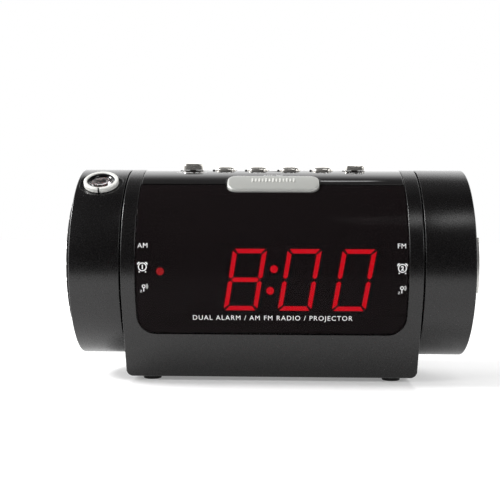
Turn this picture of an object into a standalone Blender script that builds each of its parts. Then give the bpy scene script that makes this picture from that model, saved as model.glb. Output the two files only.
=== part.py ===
"""Projection clock radio: a horizontal barrel on a slanted pedestal.

X runs along the barrel, Z is up and the front faces -Y. The floor is z = 0.
Most pieces are drawn round the barrel's axis, so their frame sits on it.
"""
from math import acos, atan2, cos, degrees, hypot, pi, radians, sin, sqrt, tan

import bmesh
import bpy
from mathutils import Matrix

MM = 0.001

# Driving dimensions
AXIS_Z = 58.5 * MM
BARREL_R = 47.5 * MM
CRADLE_X = 72.0 * MM
PANEL_X = 64.7 * MM
DRUM_START_X = 72.6 * MM
DRUM_END_X = 96.7 * MM
DISC_R = 37.5 * MM
DISC_RIM_X = 99.8 * MM
DISC_CROWN_X = 102.5 * MM
BASE_Z = 2.0 * MM
BASE_HALF_DEPTH = 25.65 * MM
WALL = 2.2 * MM
LEDGE_DEPTH = 4.5 * MM
GAP = 0.3 * MM

SEAM_ANGLE = 35.0
PANEL_REAR_ANGLE = -40.0
WINDOW_BOTTOM_Z = -33.8 * MM
WINDOW_CORNER_R = 8.7 * MM
SKIN = 2.0 * MM

CONTROL_ANGLE = 8.0
CONTROL_PITCH = 16.5 * MM
CONTROL_SHIFT = 0.7 * MM
CONTROL_X = [CONTROL_SHIFT + (index - 2.5) * CONTROL_PITCH for index in range(6)]
BUTTON_SIZE = (10.6 * MM, 7.6 * MM)
KNOB_SIZE = (10.6 * MM, 6.2 * MM)
STEM_SIZE = (3.4 * MM, 2.4 * MM)
FUNCTION_KNOB_TOP = 51.3 * MM
BAND_KNOB_TOP = 50.3 * MM
SLOT_LENGTH = 8.6 * MM

SNOOZE_ANGLE = 34.0
SNOOZE_X = 0.5 * MM
SNOOZE_SIZE = (45.2 * MM, 13.4 * MM)
SNOOZE_TOP = 48.8 * MM

LENS_ANGLE = 33.0
LENS_X = -84.8 * MM
RING_R = 8.6 * MM
RING_BORE = 6.6 * MM
RING_TOP = 48.9 * MM
SEAT_R = 10.8 * MM
SEAT_H = 46.25 * MM
BARREL_HOLE_R = 8.3 * MM
RING_NECK_R = (5.9 * MM, 6.7 * MM)
LENS_SEAT_R = 6.3 * MM

BOARD = 1.6 * MM
SWITCH_BOARD_ANGLE = 20.0
SWITCH_BOARD_TOP = 34.5 * MM
MAIN_BOARD_Z = -13.5 * MM
WHEEL_R = 16.0 * MM
WHEEL_X = 40.0 * MM
WHEEL_Y = 26.35 * MM
WHEEL_LOW_Z = -28.5 * MM
WHEEL_THICK = 3.0 * MM

FOOT_R = 4.5 * MM
FOOT_X = 60.0 * MM
FOOT_Y = 17.8 * MM
SCREW_X = 66.6 * MM
SCREW_Y = 10.0 * MM
POST_X = 59.0 * MM
PLATE_TOP_Z = 5.0 * MM
DOOR_X = (-5.0 * MM, 49.0 * MM)
DOOR_Y = (-8.6 * MM, 25.2 * MM)
BAY_X = (-2.4 * MM, 46.4 * MM)
BAY_Y = (-5.5 * MM, 17.5 * MM)
GLAND_X = -36.0 * MM
GLAND_Z = -42.0 * MM

SPINDLE_R = 5.0 * MM
DRUM_SCREW_RING_R = 37.0 * MM
DRUM_SCREW_ANGLES = (35, 145, 238)
SCREW_HEAD_R = 2.5 * MM
SCREW_SHANK_R = 1.2 * MM
END_WALL = 2.0 * MM
PANEL_SEAT = 2.5 * MM
LEDGE_WIDTH = 2.4 * MM
VENT_X = range(-24, 25, 6)
VENT_Z = (-2.0 * MM, 16.0 * MM)
VENT_WIDTH = 1.6 * MM

MODULE_TOP = (-43.4 * MM, 10.5 * MM)
MODULE_FOOT = (-36.4 * MM, -25.0 * MM)
MODULE_BACK_Y = -31.0 * MM

BARREL_STEPS = 60
ROUND_STEPS = 20
FAR = 200.0 * MM

# The slanted faces are tangent to the barrel and run down to the base's edge.
BASE_DROP = AXIS_Z - BASE_Z
SLANT = pi / 2 - acos(BARREL_R / hypot(BASE_HALF_DEPTH, BASE_DROP)) - atan2(BASE_HALF_DEPTH, BASE_DROP)
TANGENT_ANGLE = 90.0 + degrees(SLANT)

for old in list(bpy.data.objects):
    bpy.data.objects.remove(old, do_unlink=True)

AXIS = Matrix.Translation((0, 0, AXIS_Z))


# ---------------------------------------------------------------- helpers

def material(name, colour, roughness, metallic=0.0):
    """A Principled material, made once for each name."""
    made = bpy.data.materials.get(name)
    if made is None:
        made = bpy.data.materials.new(name)
        made.use_nodes = True
        shader = made.node_tree.nodes["Principled BSDF"]
        shader.inputs["Base Color"].default_value = (*colour, 1.0)
        shader.inputs["Roughness"].default_value = roughness
        shader.inputs["Metallic"].default_value = metallic
    return made


BLACK = material("black_plastic", (0.02, 0.02, 0.022), 0.35)
WINDOW = material("window_plastic", (0.01, 0.008, 0.01), 0.08)
SILVER = material("silver_plastic", (0.62, 0.62, 0.6), 0.3, 0.8)
CHROME = material("chromed_plastic", (0.75, 0.74, 0.72), 0.12, 1.0)
STEEL = material("steel", (0.55, 0.55, 0.56), 0.35, 1.0)
RUBBER = material("rubber", (0.015, 0.015, 0.015), 0.8)
RESIN = material("board_resin", (0.05, 0.16, 0.07), 0.5)
COPPER = material("copper_wire", (0.6, 0.25, 0.1), 0.35, 0.9)
FERRITE = material("ferrite", (0.05, 0.05, 0.055), 0.6)
PALE_RESIN = material("pale_plastic", (0.7, 0.7, 0.66), 0.4)
PAPER = material("cone_paper", (0.04, 0.04, 0.04), 0.85)
GLASS = material("lens_glass", (0.2, 0.18, 0.2), 0.02)


def turned_frame(angle, x=0.0):
    """Frame on the barrel's axis with local Z pointing out at an angle from straight up."""
    return AXIS @ Matrix.Translation((x, 0, 0)) @ Matrix.Rotation(radians(angle), 4, "X")


def add(name, bm, frame=AXIS, look=BLACK):
    """Turn a closed bmesh into a named object placed by its frame."""
    bmesh.ops.recalc_face_normals(bm, faces=bm.faces)
    mesh = bpy.data.meshes.new(name)
    bm.to_mesh(mesh)
    bm.free()
    mesh.shade_smooth()
    mesh.set_sharp_from_angle(angle=radians(35))
    mesh.materials.append(look)
    made = bpy.data.objects.new(name, mesh)
    made.matrix_world = frame
    bpy.context.scene.collection.objects.link(made)
    return made


def loft(rings):
    """Closed solid through rings that have equal numbers of points."""
    bm = bmesh.new()
    loops = [[bm.verts.new(point) for point in ring] for ring in rings]
    count = len(rings[0])
    for low, high in zip(loops, loops[1:]):
        for index in range(count):
            after = (index + 1) % count
            bm.faces.new((low[index], low[after], high[after], high[index]))
    bm.faces.new(loops[0][::-1])
    bm.faces.new(loops[-1])
    return bm


def slab(outline, low, high):
    """Outline in local XY, raised from one height to another."""
    return loft([[(x, y, z) for x, y in outline] for z in (low, high)])


def prism(outline, low, high):
    """Outline in the YZ plane, drawn out along X."""
    return loft([[(x, y, z) for y, z in outline] for x in (low, high)])


def block(low, high):
    """Box from its low corner to its high corner."""
    outline = [(low[0], low[1]), (high[0], low[1]), (high[0], high[1]), (low[0], high[1])]
    return slab(outline, low[2], high[2])


def merged(*parts):
    """One bmesh that holds several others."""
    whole = bmesh.new()
    for part in parts:
        mesh = bpy.data.meshes.new("merge")
        part.to_mesh(mesh)
        part.free()
        whole.from_mesh(mesh)
        bpy.data.meshes.remove(mesh)
    return whole


def turn(profile, steps=ROUND_STEPS, along="Z"):
    """Closed profile of (radius, height) points turned round an axis.

    A radius of 0 is a point on the axis.
    """
    bm = bmesh.new()
    rings = []
    for radius, height in profile:
        spots = [0.0] if radius == 0 else [2 * pi * step / steps for step in range(steps)]
        ring = []
        for spot in spots:
            across = (radius * cos(spot), radius * sin(spot))
            place = (*across, height) if along == "Z" else (height, *across)
            ring.append(bm.verts.new(place))
        rings.append(ring)
    for first, second in zip(rings, rings[1:] + rings[:1]):
        if len(first) == 1 and len(second) == 1:
            continue
        for step in range(steps):
            after = (step + 1) % steps
            corners = [first[step % len(first)], first[after % len(first)]]
            corners += [second[after % len(second)], second[step % len(second)]]
            bm.faces.new(dict.fromkeys(corners))
    return bm


def rod(radius, low, high, steps=ROUND_STEPS, along="Z"):
    """Plain cylinder."""
    return turn([(0, low), (radius, low), (radius, high), (0, high)], steps, along)


def moved(bm, offset=(0, 0, 0), turned=0.0, about="X"):
    """The same bmesh, turned and then shifted."""
    matrix = Matrix.Translation(offset) @ Matrix.Rotation(turned, 4, about)
    bmesh.ops.transform(bm, matrix=matrix, verts=bm.verts)
    return bm


def boolean(target, name, bm, operation="DIFFERENCE", frame=AXIS):
    """Cut a solid out of a part, or unite or intersect them."""
    tool = add(name + "_guide", bm, frame)
    tool.hide_render = True
    tool.display_type = "WIRE"
    step = target.modifiers.new(name, "BOOLEAN")
    step.operation = operation
    step.solver = "EXACT"
    step.object = tool
    return tool


def oval(size, squareness=2.6, steps=ROUND_STEPS, scale=1.0, grow=0.0):
    """Superellipse outline."""
    points = []
    for step in range(steps):
        spot = 2 * pi * (step + 0.5) / steps
        across = abs(cos(spot)) ** (2 / squareness) * (1 if cos(spot) > 0 else -1)
        along = abs(sin(spot)) ** (2 / squareness) * (1 if sin(spot) > 0 else -1)
        points.append((across * (size[0] / 2 * scale + grow), along * (size[1] / 2 * scale + grow)))
    return points


def stadium(size, grow=0.0, steps=8):
    """Bar outline with half-round ends."""
    radius = size[1] / 2 + grow
    reach = size[0] / 2 - size[1] / 2
    points = []
    for step in range(steps + 1):
        spot = -pi / 2 + pi * step / steps
        points.append((reach + radius * cos(spot), radius * sin(spot)))
    return points + [(-x, -y) for x, y in points]


def rectangle(size, grow=0.0):
    """Rectangle outline round the origin."""
    half_x = size[0] / 2 + grow
    half_y = size[1] / 2 + grow
    return [(-half_x, -half_y), (half_x, -half_y), (half_x, half_y), (-half_x, half_y)]


def round_point(angle, depth):
    """Point (y, z) at a depth under the barrel's surface, angle from straight up to the front."""
    radius = BARREL_R - depth
    return (-radius * sin(radians(angle)), radius * cos(radians(angle)))


def slant_point(z, depth):
    """Point (y, z) at a depth under the front slanted face."""
    y, top = round_point(TANGENT_ANGLE, depth)
    return (y + (top - z) * tan(SLANT), z)


def arc(start, end, depth, step=360 / BARREL_STEPS):
    """Points (y, z) along the barrel from one angle to another."""
    count = max(1, round(abs(end - start) / step))
    return [round_point(start + (end - start) * index / count, depth) for index in range(count + 1)]


def mirrored(outline, side):
    """The front outline (side -1), or the same one for the rear (side 1)."""
    return [(-side * y, z) for y, z in outline]


def drum_screw_spots():
    """Places (y, z) of the screws that hold the fixed drum."""
    turns = [radians(angle) for angle in DRUM_SCREW_ANGLES]
    return [(DRUM_SCREW_RING_R * cos(turned), DRUM_SCREW_RING_R * sin(turned)) for turned in turns]


def gland_spot():
    """Middle of the cord's gland on the rear slanted face, and its turn about X."""
    return (GLAND_X, -slant_point(GLAND_Z, 0)[0], GLAND_Z), -(pi / 2 + SLANT)


# ---------------------------------------------------------------- cabinet shells

def shell_outline(side):
    """Outer section of one half of the cabinet, from the split to the base."""
    front = arc(0, TANGENT_ANGLE, 0)
    front[0] = (-GAP / 2, BARREL_R)
    front += [slant_point(-BASE_DROP, 0), (-GAP / 2, -BASE_DROP)]
    return mirrored(front, side)


def hollow_outline(side, thick_until):
    """Hollow of one half: deep under the window's ledge, then a plain wall."""
    below = -BASE_DROP - 5 * MM
    if side < 0:
        front = arc(0, TANGENT_ANGLE, LEDGE_DEPTH)
        front += [slant_point(thick_until, LEDGE_DEPTH), slant_point(thick_until, WALL)]
    else:
        front = arc(0, thick_until, LEDGE_DEPTH) + arc(thick_until, TANGENT_ANGLE, WALL)
    front += [slant_point(below, WALL), (5 * MM, below)]
    front[0] = (5 * MM, front[0][1])
    return mirrored(front, side)


def skin_outline(start, low_z, outer, inner):
    """Section of a curved sheet on the front, down past the window's edge."""
    outside = arc(start, TANGENT_ANGLE, outer) + [slant_point(low_z, outer)]
    inside = arc(start, TANGENT_ANGLE, inner) + [slant_point(low_z, inner)]
    return outside + inside[::-1]


def window_face(grow):
    """Front view of the window: square at the top, round at its lower corners."""
    half = PANEL_X + grow
    low = WINDOW_BOTTOM_Z - grow
    radius = WINDOW_CORNER_R
    points = [(half, FAR), (-half, FAR)]
    for step in range(7):
        spot = pi + pi / 2 * step / 6
        points.append((-half + radius + radius * cos(spot), low + radius + radius * sin(spot)))
    for step in range(7):
        spot = 3 * pi / 2 + pi / 2 * step / 6
        points.append((half - radius + radius * cos(spot), low + radius + radius * sin(spot)))
    return points


def hide(made):
    """Mark an object as a guide."""
    made.hide_render = True
    made.display_type = "WIRE"


def cut_with(target, tool):
    """Cut an object that is already a guide out of a part."""
    hide(tool)
    step = target.modifiers.new(tool.name, "BOOLEAN")
    step.operation = "DIFFERENCE"
    step.solver = "EXACT"
    step.object = tool


def sheet_cutter(name, start, end, half, outer, inner):
    """Curved block through the barrel's wall between two angles."""
    outline = arc(start, end, outer) + arc(start, end, inner)[::-1]
    tool = add(name, prism(outline, -half, half))
    hide(tool)
    return tool


def add_bosses(shell, side):
    """Two screw bosses that stand at the cabinet's ends."""
    low = PLATE_TOP_Z + GAP - AXIS_Z
    for end in (-1, 1):
        spot = (end * SCREW_X, side * SCREW_Y, 0)
        label = "boss_left" if end < 0 else "boss_right"
        boolean(shell, label, moved(rod(3.7 * MM, low, low + 12 * MM, 16), spot), "UNION")
        boolean(shell, label + "_pilot", moved(rod(1.5 * MM, low - MM, low + 9 * MM, 12), spot))


def add_end_holes(shell):
    """Holes in the end walls for the spindle, the speaker's wires and the drum's screws."""
    spindle = rod(SPINDLE_R + GAP, -CRADLE_X - MM, -CRADLE_X + 4 * MM, ROUND_STEPS, "X")
    boolean(shell, "spindle_hole", spindle)
    wires = [rod(4 * MM, CRADLE_X - 4 * MM, CRADLE_X + MM, 16, "X")]
    for y, z in drum_screw_spots():
        wires.append(moved(rod(1.6 * MM, CRADLE_X - 4 * MM, CRADLE_X + MM, 12, "X"), (0, y, z)))
    boolean(shell, "drum_side_holes", merged(*wires))


def make_front_cabinet():
    shell = add("front_cabinet", prism(shell_outline(-1), -CRADLE_X, CRADLE_X))
    inside = CRADLE_X - END_WALL
    boolean(shell, "front_hollow", prism(hollow_outline(-1, WINDOW_BOTTOM_Z - 3 * MM), -inside, inside))
    for label, grow, inner in (("seat", GAP, PANEL_SEAT), ("ledge", -LEDGE_WIDTH, 2 * LEDGE_DEPTH)):
        outline = skin_outline(25, WINDOW_BOTTOM_Z - 12 * MM, -5 * MM, inner)
        opening = add("front_" + label, prism(outline, -PANEL_X - 20 * MM, PANEL_X + 20 * MM))
        face = loft([[(x, y, z) for x, z in window_face(grow)] for y in (-FAR, 0)])
        boolean(opening, "front_" + label + "_face", face, "INTERSECT")
        cut_with(shell, opening)
        top = sheet_cutter("front_top_" + label, -4, 28, PANEL_X + grow, -5 * MM, inner)
        cut_with(shell, top)
    add_bosses(shell, -1)
    add_end_holes(shell)


def make_rear_cabinet():
    shell = add("rear_cabinet", prism(shell_outline(1), -CRADLE_X, CRADLE_X))
    inside = CRADLE_X - END_WALL
    boolean(shell, "rear_hollow", prism(hollow_outline(1, 45), -inside, inside))
    rear = PANEL_REAR_ANGLE
    seat = sheet_cutter("rear_seat", 4, rear - 0.36, PANEL_X + GAP, -5 * MM, PANEL_SEAT)
    ledge = sheet_cutter("rear_ledge", 4, rear + 2.5, PANEL_X - LEDGE_WIDTH, -5 * MM, 2 * LEDGE_DEPTH)
    cut_with(shell, seat)
    cut_with(shell, ledge)
    for end in (-1, 1):
        low = (end * WHEEL_X - 13 * MM, 30 * MM, WHEEL_LOW_Z - GAP)
        high = (end * WHEEL_X + 13 * MM, 60 * MM, WHEEL_LOW_Z + WHEEL_THICK + GAP)
        boolean(shell, "wheel_slot_left" if end < 0 else "wheel_slot_right", block(low, high))
    vents = []
    for x in VENT_X:
        low = (x * MM - VENT_WIDTH / 2, 36 * MM, VENT_Z[0])
        vents.append(block(low, (x * MM + VENT_WIDTH / 2, 60 * MM, VENT_Z[1])))
    boolean(shell, "vents", merged(*vents))
    notch_low = (DOOR_X[0] - GAP, 15 * MM, -BASE_DROP - MM)
    notch_high = (DOOR_X[1] + GAP, 40 * MM, 3.7 * MM - AXIS_Z)
    boolean(shell, "door_notch", block(notch_low, notch_high))
    boolean(shell, "gland_hole", moved(rod(3.8 * MM, -10 * MM, 10 * MM, 16), *gland_spot()))
    add_bosses(shell, 1)
    add_end_holes(shell)


# ---------------------------------------------------------------- outer panels

def panel_hole(panel, name, outline, angle, x):
    """Opening through a curved panel, square to its surface at an angle."""
    boolean(panel, name, slab(outline, 40 * MM, 55 * MM), frame=turned_frame(angle, x))


def make_top_panel():
    start = SEAM_ANGLE - 0.18
    outline = arc(start, PANEL_REAR_ANGLE, 0) + arc(start, PANEL_REAR_ANGLE, SKIN)[::-1]
    panel = add("top_panel", prism(outline, -PANEL_X, PANEL_X))
    for end in (-1, 1):
        boss = moved(rod(2.5 * MM, SWITCH_BOARD_TOP + GAP, 46.5 * MM, 12), (end * 55 * MM, 0, 0))
        label = "board_boss_left" if end < 0 else "board_boss_right"
        boolean(panel, label, boss, "UNION", turned_frame(SWITCH_BOARD_ANGLE))
    for index, x in enumerate(CONTROL_X):
        if index in (0, 5):
            outline = rectangle((SLOT_LENGTH, STEM_SIZE[1]), GAP)
        else:
            outline = oval(BUTTON_SIZE, grow=GAP)
        panel_hole(panel, f"control_hole_{index}", outline, CONTROL_ANGLE, x)
    panel_hole(panel, "snooze_notch", stadium(SNOOZE_SIZE, GAP), SNOOZE_ANGLE, SNOOZE_X)


def make_front_window():
    outline = skin_outline(SEAM_ANGLE + 0.18, WINDOW_BOTTOM_Z - 12 * MM, 0, SKIN)
    window = add("front_window", prism(outline, -PANEL_X, PANEL_X), look=WINDOW)
    face = loft([[(x, y, z) for x, z in window_face(0)] for y in (-FAR, 0)])
    boolean(window, "window_face", face, "INTERSECT")
    panel_hole(window, "snooze_window_notch", stadium(SNOOZE_SIZE, GAP), SNOOZE_ANGLE, SNOOZE_X)


def make_base_plate():
    low = BASE_Z - AXIS_Z
    high = PLATE_TOP_Z - AXIS_Z
    half_x = CRADLE_X - END_WALL - GAP
    half_y = BASE_HALF_DEPTH - WALL / cos(SLANT) - GAP
    plate = add("base_plate", block((-half_x, -half_y, low), (half_x, half_y, high)))
    channel_end = 40 * MM
    front = DOOR_Y[0] - GAP
    wide = block((DOOR_X[0] - GAP, front, low + 0.7 * MM), (DOOR_X[1] + GAP, channel_end, low + 1.7 * MM))
    narrow = block((DOOR_X[0] + MM - GAP, front, low - MM), (DOOR_X[1] - MM + GAP, channel_end, low + MM))
    boolean(plate, "door_channel", wide)
    boolean(plate, "door_mouth", narrow)
    bay_low = (BAY_X[0], BAY_Y[0], low - MM)
    boolean(plate, "bay_mouth", block(bay_low, (BAY_X[1], BAY_Y[1], high + MM)))
    post_top = MAIN_BOARD_Z - GAP
    posts = [moved(rod(2.4 * MM, high - MM, post_top, 10), (end * POST_X, y, 0))
             for end in (-1, 1) for y in (-8 * MM, 18 * MM)]
    boolean(plate, "posts", merged(*posts), "UNION")
    seats = [moved(rod(FOOT_R + GAP, low - MM, low + 0.8 * MM, 20), (x, y, 0))
             for x, y in corners(FOOT_X, FOOT_Y)]
    boolean(plate, "foot_seats", merged(*seats))
    shanks = [moved(rod(1.6 * MM, low - MM, high + MM, 12), (x, y, 0)) for x, y in corners(SCREW_X, SCREW_Y)]
    boolean(plate, "screw_holes", merged(*shanks))
    heads = [moved(rod(SCREW_HEAD_R + GAP, low - MM, low + 1.5 * MM, 12), (x, y, 0))
             for x, y in corners(SCREW_X, SCREW_Y)]
    boolean(plate, "screw_recesses", merged(*heads))


def corners(x, y):
    """Four places, mirrored across both middle planes."""
    return [(-x, -y), (x, -y), (-x, y), (x, y)]


def make_feet_and_screws():
    names = ("front_left", "front_right", "rear_left", "rear_right")
    for name, (x, y) in zip(names, corners(FOOT_X, FOOT_Y)):
        foot = turn([(0, 0), (FOOT_R - 0.5 * MM, 0), (FOOT_R, 0.5 * MM), (FOOT_R, 2.5 * MM), (0, 2.5 * MM)])
        add("foot_" + name, foot, Matrix.Translation((x, y, 0)), RUBBER)
    for name, (x, y) in zip(names, corners(SCREW_X, SCREW_Y)):
        add("base_screw_" + name, screw(), Matrix.Translation((x, y, BASE_Z)), STEEL)


def screw():
    """Pan-head screw that points up from its head."""
    head = SCREW_HEAD_R
    shank = SCREW_SHANK_R
    return turn([(0, 0), (head * 0.8, 0), (head, 0.4 * MM), (head, 1.4 * MM), (shank, 1.4 * MM),
                 (shank, 9.5 * MM), (0, 10.5 * MM)], 12)


# ---------------------------------------------------------------- drums

def make_drums():
    left = turn(drum_profile(-1, inner_r=SPINDLE_R + GAP, lip_r=34 * MM), BARREL_STEPS, "X")
    drum = add("projector_drum", left)
    seat = turned_frame(LENS_ANGLE, LENS_X)
    boolean(drum, "ring_seat", rod(SEAT_R, SEAT_H, 55 * MM, 30), frame=seat)
    boolean(drum, "barrel_hole", rod(BARREL_HOLE_R, 38 * MM, 55 * MM, 30), frame=seat)
    right = turn(drum_profile(1, inner_r=18 * MM, lip_r=31 * MM), BARREL_STEPS, "X")
    fixed = add("right_drum", right)
    pilots = [moved(rod(1.5 * MM, 70 * MM, 77 * MM, 12, "X"), (0, y, z)) for y, z in drum_screw_spots()]
    boolean(fixed, "drum_pilots", merged(*pilots))
    for index, (y, z) in enumerate(drum_screw_spots()):
        place = AXIS @ Matrix.Translation((CRADLE_X - 3.7 * MM, y, z)) @ Matrix.Rotation(pi / 2, 4, "Y")
        add(f"drum_screw_{index + 1}", screw_short(), place, STEEL)
    shaft = [(3 * MM, -77 * MM), (8 * MM, -77 * MM), (8 * MM, -75.3 * MM), (SPINDLE_R, -75.3 * MM),
             (SPINDLE_R, -67 * MM), (3 * MM, -67 * MM)]
    add("projector_spindle", turn(shaft, ROUND_STEPS, "X"), look=PALE_RESIN)
    clip = [(SPINDLE_R + GAP, -69.7 * MM), (9 * MM, -69.7 * MM), (9 * MM, -68.7 * MM),
            (SPINDLE_R + GAP, -68.7 * MM)]
    add("spindle_clip", turn(clip, ROUND_STEPS, "X"), look=STEEL)


def drum_profile(side, inner_r, lip_r):
    """Cup with a wall beside the cradle and a lip at its outer end."""
    wall = 3 * MM
    start = DRUM_START_X
    end = DRUM_END_X
    back = start + (2.4 * MM if side < 0 else 5 * MM)
    edge = 2 * MM
    points = [(inner_r, start), (BARREL_R, start), (BARREL_R, end - edge),
              (BARREL_R - 0.6 * MM, end - 0.6 * MM), (BARREL_R - edge, end), (lip_r, end),
              (lip_r, end - 2.3 * MM), (BARREL_R - wall, end - 2.3 * MM), (BARREL_R - wall, back),
              (inner_r, back)]
    return [(radius, side * along) for radius, along in points]


def screw_short():
    """Screw whose head is at the origin and whose point runs along +Z."""
    head = SCREW_HEAD_R
    shank = SCREW_SHANK_R
    return turn([(0, 0), (head, 0), (head, 1.4 * MM), (shank, 1.4 * MM), (shank, 7.2 * MM),
                 (0, 8 * MM)], 12)


def disc_profile(skirt_r):
    """Domed disc with a skirt that plugs into the drum's lip."""
    rim = DISC_RIM_X
    crown = DISC_CROWN_X
    seat = DRUM_END_X + GAP
    points = []
    for share in (0, 0.33, 0.67, 1):
        points.append((DISC_R * share, crown - (crown - rim) * share ** 2))
    inner_r = skirt_r - 1.4 * MM
    points += [(DISC_R, seat), (skirt_r, seat), (skirt_r, seat - 3 * MM), (inner_r, seat - 3 * MM),
               (inner_r, rim - 1.2 * MM), (0, crown - 1.6 * MM)]
    return points


def make_discs():
    for name, side in (("projector_cap", -1), ("speaker_grille", 1)):
        skirt = 33.4 * MM if side < 0 else 30.4 * MM
        profile = [(radius, side * along) for radius, along in disc_profile(skirt)]
        disc = add(name, turn(profile, 48, "X"), look=SILVER)
        if side > 0:
            slots = []
            for index in range(12):
                slot = block((-6 * MM, 12 * MM, -1 * MM), (8 * MM, 27 * MM, 1 * MM))
                slots.append(moved(slot, (DISC_RIM_X, 0, 0), radians(30 * index)))
            boolean(disc, "sound_slots", merged(*slots))


def make_speaker():
    basket = [(15.5 * MM, 81 * MM), (17 * MM, 81 * MM), (29 * MM, 91.6 * MM), (33.6 * MM, 92.6 * MM),
              (33.6 * MM, 93.8 * MM), (27.8 * MM, 93.8 * MM), (27.8 * MM, 92.6 * MM), (15.5 * MM, 82 * MM)]
    add("speaker_basket", turn(basket, 24, "X"), look=STEEL)
    cone = [(0, 86 * MM), (8 * MM, 83.2 * MM), (9 * MM, 83.2 * MM), (27.4 * MM, 93 * MM),
            (27.4 * MM, 93.6 * MM), (26 * MM, 93.6 * MM), (9 * MM, 84.4 * MM), (0, 87.2 * MM)]
    add("speaker_cone", turn(cone, 24, "X"), look=PAPER)
    magnet = [(0, 73 * MM), (14.8 * MM, 73 * MM), (14.8 * MM, 80.7 * MM), (0, 80.7 * MM)]
    add("speaker_magnet", turn(magnet, 24, "X"), look=FERRITE)


# ---------------------------------------------------------------- projector

def make_projector():
    frame = turned_frame(LENS_ANGLE, LENS_X)
    tube = [(7 * MM, 14 * MM), (8 * MM, 14 * MM), (8 * MM, 40.6 * MM), (9.2 * MM, 40.6 * MM),
            (9.2 * MM, 42.6 * MM), (8 * MM, 42.6 * MM), (8 * MM, 46.1 * MM), (7 * MM, 46.1 * MM)]
    add("lens_barrel", turn(tube, 24), frame)
    neck_in, neck_out = RING_NECK_R
    ring = [(RING_BORE, RING_TOP), (RING_R - 0.7 * MM, RING_TOP), (RING_R, RING_TOP - 0.6 * MM),
            (RING_R, SEAT_H + 0.35 * MM), (neck_out, SEAT_H + 0.35 * MM), (neck_out, 41 * MM),
            (neck_in, 41 * MM), (neck_in, 46.5 * MM), (LENS_SEAT_R, 46.7 * MM), (LENS_SEAT_R, 48.3 * MM)]
    focus = add("focus_ring", turn(ring[::-1], 30), frame, SILVER)
    notch = block((-0.35 * MM, -10 * MM, 47.4 * MM), (0.35 * MM, -6 * MM, 52 * MM))
    boolean(focus, "focus_notch", notch, frame=frame)
    rim = LENS_SEAT_R - GAP
    lens = [(0, 45.6 * MM), (3.2 * MM, 45.8 * MM), (5.5 * MM, 46.5 * MM), (rim, 47 * MM), (rim, 47.75 * MM),
            (3.4 * MM, 48.3 * MM), (0, 48.5 * MM)]
    add("projector_lens", turn(lens, 24), frame, GLASS)
    add("projector_board", block((-8 * MM, -8 * MM, 9 * MM), (8 * MM, 8 * MM, 10.4 * MM)), frame, RESIN)
    led = [(0, 10.7 * MM), (2.6 * MM, 10.7 * MM), (2.5 * MM, 14.5 * MM), (1.6 * MM, 16.2 * MM),
           (0, 16.8 * MM)]
    add("projector_led", turn(led, 16), frame, GLASS)
    slide = [(0, 24 * MM), (6.7 * MM, 24 * MM), (6.7 * MM, 25.4 * MM), (0, 25.4 * MM)]
    add("projector_lcd", turn(slide, 24), frame, GLASS)


# ---------------------------------------------------------------- controls

def make_buttons():
    names = ("hour_button", "minute_button", "alarm_one_button", "alarm_two_button")
    for name, x in zip(names, CONTROL_X[1:5]):
        levels = [(41.5, 0.3), (43.5, 0.3), (43.7, 1.24), (44.6, 1.24), (44.62, 1.0), (47.9, 1.0),
                  (48.7, 0.94), (49.3, 0.76), (49.55, 0.45)]
        rings = [[(px, py, level * MM) for px, py in oval(BUTTON_SIZE, scale=scale)]
                 for level, scale in levels]
        add(name, loft(rings), turned_frame(CONTROL_ANGLE, x), CHROME)


def make_snooze_bar():
    def crowned(grow, height):
        return [(x, y, sqrt(height ** 2 - y ** 2)) for x, y in stadium(SNOOZE_SIZE, grow)]

    def level(grow, height):
        return [(x, y, height) for x, y in stadium(SNOOZE_SIZE, grow)]

    rings = [level(-5.2 * MM, 42.2 * MM), level(-5.2 * MM, 43.2 * MM), level(1 * MM, 43.3 * MM),
             level(1 * MM, 44.3 * MM), level(0, 44.35 * MM), crowned(0, SNOOZE_TOP - 0.5 * MM),
             crowned(-0.6 * MM, SNOOZE_TOP)]
    add("snooze_bar", loft(rings), turned_frame(SNOOZE_ANGLE, SNOOZE_X), SILVER)


def make_sliders():
    for name, x, top in (("function_slider", CONTROL_X[0], FUNCTION_KNOB_TOP),
                         ("band_slider", CONTROL_X[5], BAND_KNOB_TOP)):
        rings = [(rectangle(STEM_SIZE), 40.2 * MM), (rectangle(STEM_SIZE), 47.9 * MM),
                 (rectangle(KNOB_SIZE), 47.95 * MM), (rectangle(KNOB_SIZE, -0.2 * MM), top - 0.5 * MM),
                 (rectangle(KNOB_SIZE, -0.8 * MM), top)]
        solid = loft([[(px, py, height) for px, py in outline] for outline, height in rings])
        add(name, solid, turned_frame(CONTROL_ANGLE, x), CHROME)


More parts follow.
